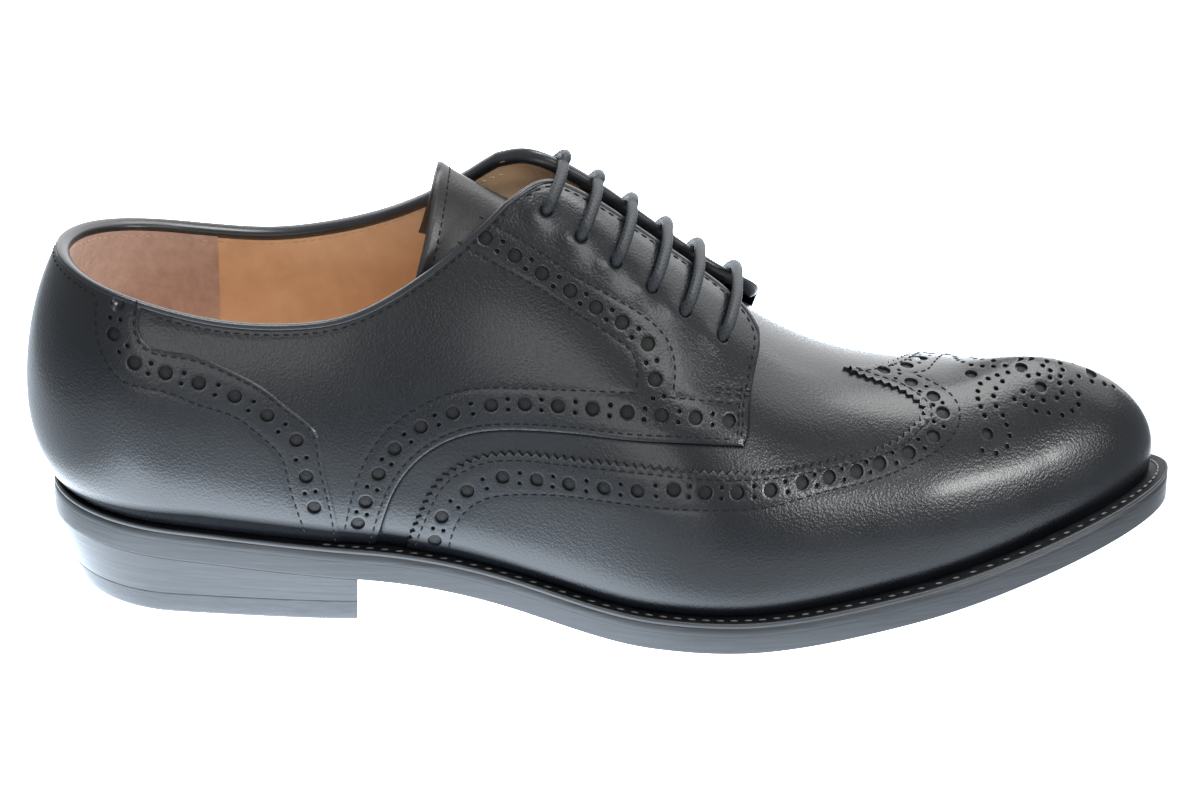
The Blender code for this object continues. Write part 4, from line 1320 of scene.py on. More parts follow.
@dataclass
class Upper:
    """Vamp, quarters, wing cap and heel counter, with their seams.

    Attributes:
        last: The last.
        lattice: Places to fill the panels with.
        thread: Stitches of the seams.
        wing_lift: Height of the wing cap above the last.
        quarter_lift: Height of the quarters.
        counter_lift: Height of the heel counter.
        pitch: Distance between stitches.
        tooth: Pitch and depth of the pinked edge.
        spacing: Distance between the points of an edge.
        under_binding: How far the panels end below the collar's edge.
        foot_tuck: How far the vamp reaches down behind the welt.
        wing_row: Distance of the outer seam from the wing's edge.
        quarter_row, front_rows, collar_row: The same for a quarter's low, front and collar edge.
        tack_gap: Distance between the two rows of the bar tack.
        counter_lap: How far the counter reaches past its seam, and the quarter under it.
        front_lap: How far the quarter stops short of its folded front edge.
    """

    last: Last
    lattice: Places
    thread: Stitches
    wing_lift: float = 1.0
    quarter_lift: float = 0.95
    counter_lift: float = 1.35
    pitch: float = 2.6
    tooth: tuple[float, float] = (2.4, 1.3)
    spacing: float = 1.0
    under_binding: float = 1.1
    foot_tuck: float = 1.2
    wing_row: float = 1.9
    quarter_row: float = 1.6
    front_rows: tuple[float, float] = (2.3, 3.5)
    collar_row: float = 2.8
    tack_gap: float = 1.3
    counter_lap: tuple[float, float] = (1.3, -2.0)
    front_lap: float = 0.6

    # Pucker beside each eyelet: its place behind and below, its half sizes and its rise.
    PUCKER_AT, PUCKER_SIZE, PUCKER_RISE = (3.0, 2.0), (2.6, 3.0), 0.45
    # Points along the foot of a panel: their distance, and their share of the way to the feather.
    FOOT_STEP, FOOT_SHARE = 1.3, 0.997
    STITCH_SINK = 0.02
    # Stations where the lining starts to draw back from the throat, and over how much; then where
    # the throat starts, and how far before its end and over how much the wall closes over it.
    DRAW_BACK, DRAW_BACK_FADE = 137.0, 12.0
    THROAT_START, CLOSING, CLOSING_FADE = 110.0, 2.0, 7.0

    def foot_line(self, start: float, end: float, side: Side) -> Places:
        """Places along the feather line from one length to another."""
        u = np.linspace(start, end, max(2, int(abs(end - start) / self.FOOT_STEP)))
        return np.stack([u, self.last.foot(u, side) * self.FOOT_SHARE], -1)

    def collar_line(self, start: float, end: float, side: Side, below: float = 0.0) -> Places:
        """Places along the collar from one length to another, some distance below its edge."""
        u = np.linspace(start, end, max(2, int(abs(end - start) / self.spacing)))
        return np.stack([u, self.last.collar(u, side) + side.value * below], -1)

    def quarter_height(self, u: Array, v: Array) -> Array:
        """Height of the quarters: lifted by the lacing, and puckered beside each eyelet.

        Args:
            u: Lengths along the sole.
            v: Distances from the ridge.

        Returns:
            The heights.
        """
        height = self.quarter_lift + facing_lift(u, v)
        (behind, below), (length, width) = self.PUCKER_AT, self.PUCKER_SIZE
        for at_u, at_v in EYELETS:
            near = ((u - at_u + behind) / length) ** 2 + ((np.abs(v) + at_v - below) / width) ** 2
            height = height + self.PUCKER_RISE * np.exp(-near)
        return height

    def seam(self, panel: Panel, path: Places, sewn: slice = slice(None)) -> None:
        """Press a groove into a panel and sew along it.

        Args:
            panel: The panel.
            path: Places of the groove.
            sewn: The part of it that has stitches.
        """
        panel.groove(path)
        line = path[sewn]
        even = self.last.trace(line[::3], self.pitch) if len(line) > 9 else line
        self.thread.sew(self.last, even, panel.lift(*even.T) - self.STITCH_SINK)

    def teeth(self, path: Places) -> Places:
        """A pinked version of an edge: every second place stands out to the left."""
        out = np.where(np.arange(len(path)) % 2 == 0, self.tooth[1] / 2, -self.tooth[1] / 2)
        out[[0, -1]] = 0.0
        return self.last.shifted(path, out)

    def build_wing(self) -> None:
        """The winged toe cap with pinked edge, punched row and toe medallion."""
        last = self.last
        far_side = lambda rows: tuple(map(tuple, last.mirrored(rows[::-1])))
        edges = (WING_EDGE + WING_PEAK_EDGE, WING_PEAK_FAR + far_side(WING_EDGE))
        near, far = (last.trace(rows, self.tooth[0] / 2) for rows in edges)
        outline = np.concatenate([
            self.teeth(near), self.teeth(far),
            self.foot_line(far[-1, 0], EDGE_LENGTH, Side.MEDIAL),
            self.foot_line(EDGE_LENGTH, near[0, 0], Side.LATERAL)])
        panel = Panel(last, outline, constant(self.wing_lift), edge_round=0.15)
        panel.punch_row(WING_HOLES + WING_PEAK_HOLES + far_side(WING_HOLES))
        (x, y), cos, sin = MEDALLION_MIDDLE, math.cos(MEDALLION_TURN), math.sin(MEDALLION_TURN)
        for rows, hole in ((MEDALLION_BIG, MEDALLION_HOLE), (MEDALLION_DOTS, MEDALLION_DOT)):
            both = sorted(set(rows) | {(a, -b + 0.0) for a, b in rows if a > MEDALLION_FAR_END})
            panel.punch([last.under_plan(x + a * cos - b * sin, y + a * sin + b * cos)
                         for a, b in both], *hole)
        seams = (WING_ROW + WING_PEAK_ROW, WING_PEAK_ROW_FAR + far_side(WING_ROW))
        inner = [last.trace(rows, self.spacing) for rows in seams]
        outer = [last.shifted(last.trace(rows, self.spacing), -self.wing_row) for rows in edges]
        for path in inner + outer:
            self.seam(panel, path, slice(2, -2))
        made = panel.build("wing_cap_leather", BLACK_CALF, self.lattice)
        settle(made, "black_leather", "wing_cap")

    def build_counter(self) -> None:
        """The heel counter, with a punched strip along its front edge."""
        last = self.last
        front = last.shifted(last.trace(COUNTER_ROW, self.spacing), self.counter_lap[0])
        fronts, top_end = [], 12
        for path, side in zip((front, last.mirrored(front)), Side):
            edge_v = np.abs(last.collar(path[:top_end, 0], side)) + self.under_binding + 0.4
            first = int(np.argmax(np.abs(path[:top_end, 1]) > edge_v))
            fronts.append(path[first:])
        front, far_front = fronts
        outline = np.concatenate([
            front, self.foot_line(front[-1, 0], 0.0, Side.LATERAL),
            self.foot_line(0.0, far_front[-1, 0], Side.MEDIAL), far_front[::-1],
            self.collar_line(far_front[0, 0], 0.0, Side.MEDIAL, self.under_binding),
            self.collar_line(0.0, front[0, 0], Side.LATERAL, self.under_binding)])
        panel = Panel(last, outline, constant(self.counter_lift), edge_round=0.25)
        for side in Side:
            panel.punch_row(COUNTER_HOLES, self.turn(side))
        for rows in (COUNTER_ROW, COUNTER_BACK_ROW):
            path = last.trace(rows, self.spacing)
            for line in (path, last.mirrored(path)):
                self.seam(panel, line, slice(2, None))
        for side in Side:
            self.seam(panel, self.collar_line(1.0, 32.0, side, self.collar_row))
        made = panel.build("heel_counter_leather", BLACK_CALF, self.lattice)
        settle(made, "black_leather", "heel_counter")

    def turn(self, side: Side) -> Callable[[Places], Places]:
        """What takes places on the lateral side to one side of the foot."""
        keep = lambda path: np.asarray(path, float)
        return keep if side is Side.LATERAL else self.last.mirrored

    def quarter_outline(self, side: Side) -> tuple[Places, Places, Places, Places]:
        """Outline of a quarter.

        Args:
            side: Side of the foot.

        Returns:
            The outline, the low edge on the lateral side, the front edge, and the back edge on the
            lateral side.
        """
        last, turn = self.last, self.turn(side)
        low = last.trace(QUARTER_LOW_EDGE, self.spacing)
        rows = turn(QUARTER_LOW_EDGE[-1:] + QUARTER_FRONT_EDGE + FACING_CORNER + FACING_EDGE)
        front = last.trace(np.concatenate([rows, FACING_TOP_CORNER[side]]), self.spacing)
        back = last.shifted(last.trace(COUNTER_ROW, self.spacing), self.counter_lap[1])
        collar = self.collar_line(COLLAR_FRONT[side], back[0, 0], side, self.under_binding)
        outline = np.concatenate([
            turn(low), last.shifted(front, -self.front_lap * side.value), collar, turn(back[2:]),
            self.foot_line(back[-1, 0], low[0, 0], side)])
        return outline, low, front, back

    def build_quarter(self, side: Side) -> None:
        """One quarter: from the heel counter to the laced facing.

        Args:
            side: Side of the foot.
        """
        last, turn = self.last, self.turn(side)
        outline, low, front, back = self.quarter_outline(side)
        panel = Panel(last, outline, self.quarter_height, thickness=2.1)
        panel.punch_row(QUARTER_HOLES, turn)
        panel.punch_row(FACING_HOLES, turn, QUARTER_HOLES[-3:-2])
        panel.punch(turn(EYELETS), *EYELET)
        seams = [turn(last.shifted(low, self.quarter_row)[:-3])]
        seams += [last.shifted(path, -distance * side.value)
                  for path, distance in zip((front[3:-2], front[3:16]), self.front_rows)]
        seams += [turn(last.trace(row, self.spacing)) for row in (
            QUARTER_UPPER_ROW, QUARTER_FRONT_ROW, FACING_UPPER_ROW, FACING_LOWER_ROW)]
        collar_end = back[0, 0] + 6.0
        seams.append(self.collar_line(COLLAR_FRONT[side], collar_end, side, self.collar_row))
        for shift in (0.0, self.tack_gap):
            seams.append(turn(last.shifted(last.trace(BAR_TACK, self.pitch), shift)))
        for path in seams:
            self.seam(panel, path)
        name = "quarter_outer" if side is Side.LATERAL else "quarter_inner"
        settle(panel.build(name, BLACK_CALF, self.lattice), "black_leather")

    def wall(self, name: str, finish: Finish, lift: Field, margin: float, rows: int = 64,
             step: float = 1.0, setback: float = 0.0) -> Object:
        """A sheet of the whole wall from the feather line up to the collar, throat or ridge.

        Args:
            name: Name of the piece.
            finish: Its finish.
            lift: Height above the last.
            margin: Distance kept from the collar's edge.
            rows: Points up the wall.
            step: Distance between columns.
            setback: Further distance kept from the throat.

        Returns:
            The object.
        """
        whole = np.linspace(0.0, EDGE_LENGTH, int(EDGE_LENGTH / step) + 1)
        halves = []
        for u, side in zip((whole, whole[::-1]), Side):
            x = station(u)
            corner = np.abs(FACING_TOP_CORNER[side])[::-1].T
            top = np.abs(self.last.collar(u, side))
            top = np.maximum(top, np.interp(u, *corner, left=0.0, right=0.0)) + margin
            top = top + setback * np.clip((x - self.DRAW_BACK) / self.DRAW_BACK_FADE, 0, 1)
            closing = np.clip((THROAT_END - self.CLOSING - x) / self.CLOSING_FADE, 0, 1)
            top = np.where(x > self.THROAT_START, top * np.sqrt(closing), top)
            share = np.linspace(0, 1, rows)
            reach = np.abs(self.last.foot(u, side))
            v = side.value * (reach[:, None] + (top - reach)[:, None] * share)
            halves.append(np.stack([np.broadcast_to(u[:, None], v.shape), v], -1))
        places = np.concatenate(halves)
        points = self.last.at(places, lift(places[..., 0], places[..., 1]))
        points[:, 0, 2] -= self.foot_tuck
        faces = [f[::-1] for f in sheet_faces(len(places), rows)]
        places = places.reshape(-1, 2)
        # Painted shade: the band above the welt and the shadow below the quarters' edges lose their
        # polish.
        shade_and_dull = None
        if finish.dulled_in_shade:
            shade_and_dull = np.maximum(welt_shade_depth(self.last, places), self.edge_shadow(places))
        return mesh_piece(name, points.reshape(-1, 3), faces, finish, weld=True, shade_and_dull=shade_and_dull)

    def edge_shadow(self, places: Places) -> Array:
        """How deep places lie in the painted shadow below the quarters' edges.

        Args:
            places: The places.

        Returns:
            1 or more in the painted shadow and under the quarters, 0 or less clear of them.
        """
        depth = np.full(len(places), -1.0)
        for side in Side:
            outline = self.quarter_outline(side)[0]
            fine = np.arange(0, len(outline) - 1, 0.2)
            border = self.last.at(resample(outline, np.arange(len(outline)), fine))
            mine = np.flatnonzero(places[:, 1] * side.value > 0)
            gap = nearest(self.last.at(places[mine]), border)
            gap[within(self.last.flatten(outline), self.last.flatten(places[mine]))] *= -1
            depth[mine] = (EDGE_SHADOW[1] - gap) / (EDGE_SHADOW[1] - EDGE_SHADOW[0])
        return depth


@dataclass
class SoleUnit:
    """Welt, outsole and heel.

    Attributes:
        columns: Points along each side.
        heel_columns: Points along each side of the heel.
        inset_top: Inset of the heel under the outsole.
        inset_side: Inset of its sides on the floor.
        inset_back: Inset of its back on the floor.
        taper_power: How soon the back leans in towards the heel's middle.
        breast_hollow: Hollow of its front face.
        top_piece: Thickness of the rubber lift.
        first_stitch: Length where the welt's stitches start.
        stitch_pitch: Distance between them.
    """

    columns: int = 360
    heel_columns: int = 110
    inset_top: float = 0.05
    inset_side: float = 0.9
    inset_back: float = 6.6
    taper_power: float = 1.6
    breast_hollow: float = 4.0
    top_piece: float = 6.0
    first_stitch: float = 96.0
    stitch_pitch: float = 4.0

    # Corners of each section from below outwards and up. Columns: share of the welt's ledge and
    # distance that make up its inset, and height above the underside.
    SEAM = 0.42
    WELT = (
        (1, 1.6, OUTSOLE_TOP + 0.02), (0, 0.0, OUTSOLE_TOP + 0.02), (0, 0.0, 5.6), (0, 0.0, 7.4),
        (0, 0.14, 7.55), (0, 0.02, 7.7), (0, 0.0, 8.3), (0, 0.08, 8.65), (0, 0.4, WELT_TOP - 0.04),
        (0, 0.8, WELT_TOP), (0.3, 0.0, WELT_TOP), (SEAM, 0.0, WELT_TOP - 0.3),
        (0.54, 0.0, WELT_TOP), (1, 1.6, WELT_TOP - 0.02),
    )
    WELT_BLACK_FROM = 8
    OUTSOLE = (
        (0, 8.0, 0.0), (0, 0.3, 0.0), (0, 0.08, 0.05), (0, 0.0, 0.2), (0, 0.0, 0.5),
        (0, -0.03, 2.6), (0, 0.0, 4.6), (0, 0.0, 4.97), (0, 0.1, OUTSOLE_TOP),
        (0, 8.0, OUTSOLE_TOP),
    )
    SOCK = ((1, 0.5, OUTSOLE_TOP + 0.3), (1, 0.4, 8.5), (1, 1.2, 8.9), (1, 12.0, 8.9))
    # Joints of the stacked lifts as shares of their height, and how deep and wide each one shows.
    LIFT_JOINTS, JOINT_DEPTH, JOINT_WIDTH = (0.34, 0.68), 0.04, 0.018

    def ring(self, share: float, inset: float, height: float) -> Array:
        """Closed ring at a height above the underside, lateral side first.

        Args:
            share: Share of the welt's ledge that it lies in from the edge.
            inset: Distance that it lies in besides.
            height: Height above the underside.

        Returns:
            Its points.
        """
        u = np.linspace(0, EDGE_LENGTH, self.columns + 1)
        sides = []
        for side in Side:
            plan = edge(u, side, share * WELT_LEDGE(station(u)) + inset)
            sides.append(np.column_stack([plan, underside(plan[:, 0]) + height]))
        return np.concatenate([sides[0], sides[1][-2:0:-1]])

    def loft(self, name: str, section: Sequence[Sequence[float]], finish: Finish, capped: bool,
             top_from: int = 0) -> Object:
        """Sweep a section round the sole.

        Args:
            name: Name of the piece.
            section: Its corners.
            finish: Its finish.
            capped: Whether the first and last rings are closed across; else the section closes.
            top_from: Corner of the section where the dull black top starts, if it has one.

        Returns:
            The object.
        """
        rings = [self.ring(*corner) for corner in section]
        count, total = len(rings[0]), len(rings) * len(rings[0])
        faces = sheet_faces(len(rings) + (not capped), count, closed=True)
        faces = [tuple(c % total for c in f) for f in faces]
        for i in range(count // 2 if capped else 0):
            cap = list(dict.fromkeys([i, i + 1, (count - i - 1) % count, (count - i) % count]))
            faces.append(tuple(cap[::-1]))
            faces.append(tuple(total - count + c for c in cap))
        made = mesh_piece(name, np.concatenate(rings), faces, finish, 60.0)
        if top_from:
            made.data.materials.append(WELT_BLACK.make())
            top_faces = np.arange(len(faces)) >= top_from * count
            made.data.polygons.foreach_set("material_index", top_faces.astype(np.int32))
        return made

    def build_sole(self, stitches: Stitches) -> None:
        """Welt with its stitch groove, and outsole with a rounded edge.

        Args:
            stitches: Stitches of the welt.
        """
        welt = self.loft("welt_strip", self.WELT, SOLE_EDGE, False, self.WELT_BLACK_FROM)
        settle(welt, "sole_leather", "welt")
        outsole = self.loft("outsole_leather", self.OUTSOLE, SOLE_EDGE, True)
        settle(outsole, "sole_leather", "outsole")
        for side in Side:
            u = np.arange(self.first_stitch, EDGE_LENGTH, self.stitch_pitch)
            plan = edge(u, side, WELT_LEDGE(station(u)) * self.SEAM)
            points = np.column_stack([plan, underside(plan[:, 0]) + WELT_TOP - 0.08])
            stitches.add(points, np.tile((0.0, 0.0, 1.0), (len(u), 1)))

    def heel_ring(self, share: float, height: Callable, extra: float = 0.0) -> Array:
        """Closed ring round the heel.

        Args:
            share: 0 under the outsole, 1 on the floor.
            height: Height at a station.
            extra: More inset.

        Returns:
            Its points.
        """
        u = np.linspace(0, length_at(BREAST), self.heel_columns)
        taper = heel_share(station(u)) ** self.taper_power
        floor = self.inset_side + (self.inset_back - self.inset_side) * taper
        inset = self.inset_top + (floor - self.inset_top) * share + extra
        sides = [edge(u, side, inset) for side in Side]
        across = np.linspace(0, 1, 26)[1:-1]
        a, b = sides[0][-1], sides[1][-1]
        breast = a + (b - a) * across[:, None]
        breast[:, 0] -= self.breast_hollow * np.sin(math.pi * across)
        plan = np.concatenate([sides[0], breast, sides[1][:0:-1]])
        return np.column_stack([plan, height(plan[:, 0])])

    def heel_solid(self, name: str, rings: list[Array], finish: Finish) -> Object:
        """A closed solid.

        Args:
            name: Name of the piece.
            rings: Its rings, lowest first.
            finish: Its finish.

        Returns:
            The object.
        """
        count = len(rings[0])
        faces = sheet_faces(len(rings), count, closed=True)
        faces.append(tuple(range(count))[::-1])
        faces.append(tuple((len(rings) - 1) * count + i for i in range(count)))
        return mesh_piece(name, np.concatenate(rings), faces, finish, 60.0)

    def build_heel(self) -> None:
        """Stacked leather lifts with their joints, and the rubber lift with a worn lower edge."""
        low = self.top_piece + 0.05
        joint = 1 - self.top_piece / SEAT_BACK
        rings = []
        for share in np.linspace(0, 1, 31):
            gaps = [(share - line) / self.JOINT_WIDTH for line in self.LIFT_JOINTS]
            seam = self.JOINT_DEPTH * max(math.exp(-gap ** 2) for gap in gaps)
            height = lambda x, t=share: low + (underside(x) - 0.03 - low) * t
            rings.append(self.heel_ring(joint * (1 - share), height, seam))
        settle(self.heel_solid("heel_lifts", rings, SOLE_EDGE), "sole_leather", "heel_stack")
        # Columns: share of the way to the floor, height, further inset.
        rows = ((1.0, 0.0, 2.6), (1.0, 0.0, 1.5), (1.0, 0.15, 0.7), (1.0, 0.5, 0.25),
                (0.97, 1.1, 0.0), (0.85, 3.0, 0.0), (joint + 0.02, 5.5, 0.0), (joint, 5.96, 0.01),
                (joint, self.top_piece, 0.05))
        rings = [self.heel_ring(share, constant(z), extra) for share, z, extra in rows]
        rubber = self.heel_solid("heel_rubber_lift", rings, HEEL_RUBBER)
        settle(rubber, "heel_rubber", "heel_top_piece")

    def build_sock(self) -> None:
        """The tan sock inside, over the insole board."""
        settle(self.loft("sock", self.SOCK, TAN_CALF, True), "tan_leather", "insole")


@dataclass
class Throat:
    """Tongue and laces.

    Attributes:
        last: The last.
        tongue_side_gap: Gap between the tongue's sides and the upper's wall.
        tongue_lean: How far the tongue's top edge leans back at the sides.
        tongue_wing: How much further its top corners reach down behind the collar.
        tongue_wall: Thickness of the tongue.
        lace_radius: Radius of the round lace.
        arch: Rise of a bar in its middle.
        bow: How far the top bar's middle bows towards the toe.
        bow_step: How much less each lower bar bows.
        dive_from: Share of a bar's half where it turns down into the eyelet.
        dive_depth: How far it ends below the facing.
    """

    last: Last
    tongue_side_gap: float = 2.0
    tongue_lean: float = 4.5
    tongue_wing: float = 5.0
    tongue_wall: float = 2.0
    lace_radius: float = 1.55
    arch: float = 0.4
    bow: float = 3.0
    bow_step: float = 0.3
    dive_from: float = 0.86
    dive_depth: float = 1.9

    # Length and half width of the tongue; its folded top edge: rise, place and width; its rounded
    # rim: width and drop of both faces; and the place and height of its stitches.
    LONG, HALF = 99.0, 28.0
    FOLD, FOLD_AT, FOLD_WIDTH = 0.35, 1.6, 1.7
    RIM, RIM_TOP, RIM_LOW = 0.5, 0.6, 0.5
    SEAM_AT, SEAM_LIFT = 3.6, 0.05

    def tongue_place(self, share: Array, across: Array) -> tuple[Places, Array]:
        """Place and lift of a point of the tongue.

        Args:
            share: 0 at its top, 1 at its root.
            across: -1 to 1 from side to side.

        Returns:
            Places and lifts of its outer face.
        """
        top, root = TONGUE_ROWS[0][0], TONGUE_ROWS[-1][0]
        x = top + (root - top) * share
        u = length_at(x) - self.tongue_lean * across ** 2 * (1 - share)
        side_gap = np.minimum(self.tongue_side_gap, TONGUE_GAP(x))
        gap = side_gap + (TONGUE_GAP(x) - side_gap) * (1 - across ** 2)
        half = TONGUE_HALF(x) + self.tongue_wing * (1 - share)
        return np.stack([u, half * across], -1), -(UPPER_WALL + gap)

    def build_tongue(self, stitches: Stitches) -> None:
        """The tongue: a soft sheet with a folded and stitched top edge.

        Args:
            stitches: Stitches of the seams.
        """
        rows, count = 110, 61
        share, across = np.meshgrid(
            np.linspace(0, 1, rows), np.linspace(-1, 1, count), indexing="ij")
        places, lift = self.tongue_place(share, across)
        fold = self.FOLD * np.exp(-((share * self.LONG - self.FOLD_AT) / self.FOLD_WIDTH) ** 2)
        rim = np.maximum(np.exp(-share * self.LONG / self.RIM),
                         np.exp(-(1 - np.abs(across)) * self.HALF / self.RIM))
        top = self.last.at(places, lift + fold - self.RIM_TOP * rim)
        low = self.last.at(places, lift - self.tongue_wall + self.RIM_LOW * rim)
        under = [tuple(c + rows * count for c in f) for f in sheet_faces(rows, count)]
        outer = [f[::-1] for f in sheet_faces(rows, count)]
        grid = np.arange(rows * count).reshape(rows, count)
        loop = np.concatenate([grid[0], grid[1:, -1], grid[-1, -2::-1], grid[-2:0:-1, 0]])
        below = loop + rows * count
        sides = list(zip(loop, np.roll(loop, -1), np.roll(below, -1), below))
        points = np.concatenate([top.reshape(-1, 3), low.reshape(-1, 3)])
        made = mesh_piece("tongue_leather", points, outer + under + sides, TONGUE_CALF)
        settle(made, "black_leather", "tongue")
        steps = np.linspace(-0.9, 0.9, 30)
        row, heights = self.tongue_place(np.full_like(steps, self.SEAM_AT / self.LONG), steps)
        stitches.sew(self.last, row, heights + self.SEAM_LIFT)

    def build_laces(self) -> None:
        """Six bars of round waxed lace, each through its pair of eyelets."""
        for number, (u, reach) in enumerate(EYELETS, 1):
            across = np.linspace(-1, 1, 61)
            v = -reach * across
            along = u + (self.bow - self.bow_step * (number - 1)) * (1 - across ** 2)
            facing = facing_lift(along, v) + Upper.quarter_lift
            rest = self.lace_radius + 0.1 + self.arch * (1 - across ** 2)
            dive = np.clip((np.abs(across) - self.dive_from) / (1 - self.dive_from), 0, 1)
            lift = facing + rest * (1 - dive ** 2) - self.dive_depth * dive ** 2
            line = self.last.at(np.stack([along, v], -1), lift)
            settle(self.cord(f"lace_{number}", line), "waxed_cord", f"lace_bar_{number}")

    def cord(self, name: str, line: Array, sides: int = 14) -> Object:
        """A round cord along a line, with a map of its length for the braid.

        Args:
            name: Name of the piece.
            line: Points along it.
            sides: Corners round it.

        Returns:
            The object.
        """
        arc = lengths(line)
        even = np.linspace(0, arc[-1], max(24, int(arc[-1] / 0.8)))
        line = resample(line, arc, even)
        along = unit(np.gradient(line, axis=0))
        first = unit(np.cross(along, (1.0, 0.0, 0.0)))
        second = np.cross(along, first)
        turn = np.linspace(0, math.tau, sides + 1)
        ring = np.cos(turn)[:, None, None] * first + np.sin(turn)[:, None, None] * second
        points = (line + self.lace_radius * ring).transpose(1, 0, 2)
        count = sides + 1
        faces = sheet_faces(len(line), count)
        ends = [tuple(range(sides))[::-1], tuple((len(line) - 1) * count + i for i in range(sides))]
        made = mesh_piece(name, points.reshape(-1, 3), faces + ends, WAXED_BRAID)
        chart = made.data.uv_layers.new(name="cord")
        corner = np.zeros(len(made.data.loops), int)
        made.data.loops.foreach_get("vertex_index", corner)
        chart_values = np.stack([(corner % count) / sides, even[corner // count]], -1)
        chart.data.foreach_set("uv", chart_values.ravel())
        return made


@dataclass
class Collar:
    """Collar binding, lining and heel grip.

    Attributes:
        last: The last.
        upper: The upper that it closes.
        front: Length where the binding ends at the facing.
        grip_end: Length where the suede grip ends.
        grip_wall: Thickness of the grip.
        setback: How far the lining stays back from the throat.
        stitch_row: Distance of the pale stitches from the collar's edge.
        stitch_pitch: Distance between them.
    """

    last: Last
    upper: Upper
    front: float = 149.0
    grip_end: float = 61.0
    grip_wall: float = 0.35
    setback: float = 9.0
    stitch_row: float = 3.6
    stitch_pitch: float = 2.4

    # Columns: distance in from the free edge, height above the last.
    BINDING = (
        (1.6, 0.5), (1.5, 1.0), (1.15, 1.3), (0.6, 1.38), (0.1, 1.05), (-0.18, 0.4), (-0.22, -0.6),
        (-0.1, -1.6), (0.3, -2.3), (1.0, -2.6), (1.9, -2.65), (2.3, -2.5), (2.3, -1.6),
    )
    # Length over which it thins out at its ends, the place that it shrinks to, and its spacing.
    TAPER, END_INSIDE, END_LIFT, SPACING = 5.0, 0.8, 0.6, 0.8
    # Columns on each side of the grip, points in a column, and its gaps to collar and feather line.
    GRIP_COLUMNS, GRIP_ROWS, GRIP_TOP, GRIP_FOOT = 62, 60, 1.6, 3.0

    def free_edge(self) -> Places:
        """The edge from one facing's front corner round the collar to the other's.

        Returns:
            Its places.
        """
        rows = QUARTER_FRONT_EDGE[-1:] + FACING_CORNER + FACING_EDGE
        near, far = (
            self.last.trace(np.concatenate([self.upper.turn(side)(rows), FACING_TOP_CORNER[side]]),
                            self.SPACING) for side in Side)
        near_collar = self.upper.collar_line(COLLAR_FRONT[Side.LATERAL], 0.0, Side.LATERAL)
        far_collar = self.upper.collar_line(0.0, COLLAR_FRONT[Side.MEDIAL], Side.MEDIAL)
        return np.concatenate([near, near_collar, far_collar[1:], far[::-1]])

    def build_binding(self) -> None:
        """The folded edge round the collar and down both facings, thinning out at its two ends."""
        line = self.free_edge()
        arc = lengths(self.last.at(line))
        full = np.clip(np.minimum(arc, arc[-1] - arc) / self.TAPER, 0.05, 1.0)
        rows = []
        for inside, lift in self.BINDING:
            inset = self.END_INSIDE + (inside - self.END_INSIDE) * full
            places = self.last.shifted(line, inset)
            rise = facing_lift(places[:, 0], places[:, 1])
            rows.append(self.last.at(places, self.END_LIFT + (lift - self.END_LIFT) * full + rise))
        faces = sheet_faces(len(rows), len(line))
        made = mesh_piece("collar_binding", np.concatenate(rows), faces, FOLDED_CALF, 80.0)
        settle(made, "black_leather")

    def build_lining(self, pale: Stitches) -> None:
        """Tan lining inside the wall, suede grip at the heel, pale stitches under the edge.

        Args:
            pale: Stitches of the lining.
        """
        inside = lambda u, v: under_facing(u, v) - UPPER_WALL
        lining = self.upper.wall("lining", TAN_CALF, inside, 1.2, rows=40, step=1.6,
                                 setback=self.setback)
        lining.data.flip_normals()
        settle(lining, "tan_leather")
        half = np.linspace(0.0, self.grip_end, self.GRIP_COLUMNS)
        columns_of = [(u, Side.LATERAL) for u in half[::-1]] + [(u, Side.MEDIAL) for u in half[1:]]
        places = []
        for u, side in columns_of:
            top = abs(float(self.last.collar(np.array([u]), side)[0])) + self.GRIP_TOP
            low = abs(float(self.last.foot(u, side))) - self.GRIP_FOOT
            v = side.value * np.linspace(top, low, self.GRIP_ROWS)
            places.append(np.stack([np.full_like(v, u), v], -1))
        places = np.array(places)
        points = self.last.at(places, -UPPER_WALL - self.grip_wall)
        ends = self.last.at(places[[0, -1]], -UPPER_WALL + 0.1)
        points = np.concatenate([ends[:1], points, ends[1:]])
        faces = sheet_faces(len(points), self.GRIP_ROWS)
        settle(mesh_piece("heel_grip", points.reshape(-1, 3), faces, TAUPE_SUEDE), "tan_leather")
        for side in Side:
            u = np.arange(2.0, self.front - 6.0, self.stitch_pitch)
            row = np.stack([u, self.last.collar(u, side) + side.value * self.stitch_row], -1)
            pale.sew(self.last, row, -UPPER_WALL - 0.4 * (u < self.grip_end), inwards=True)


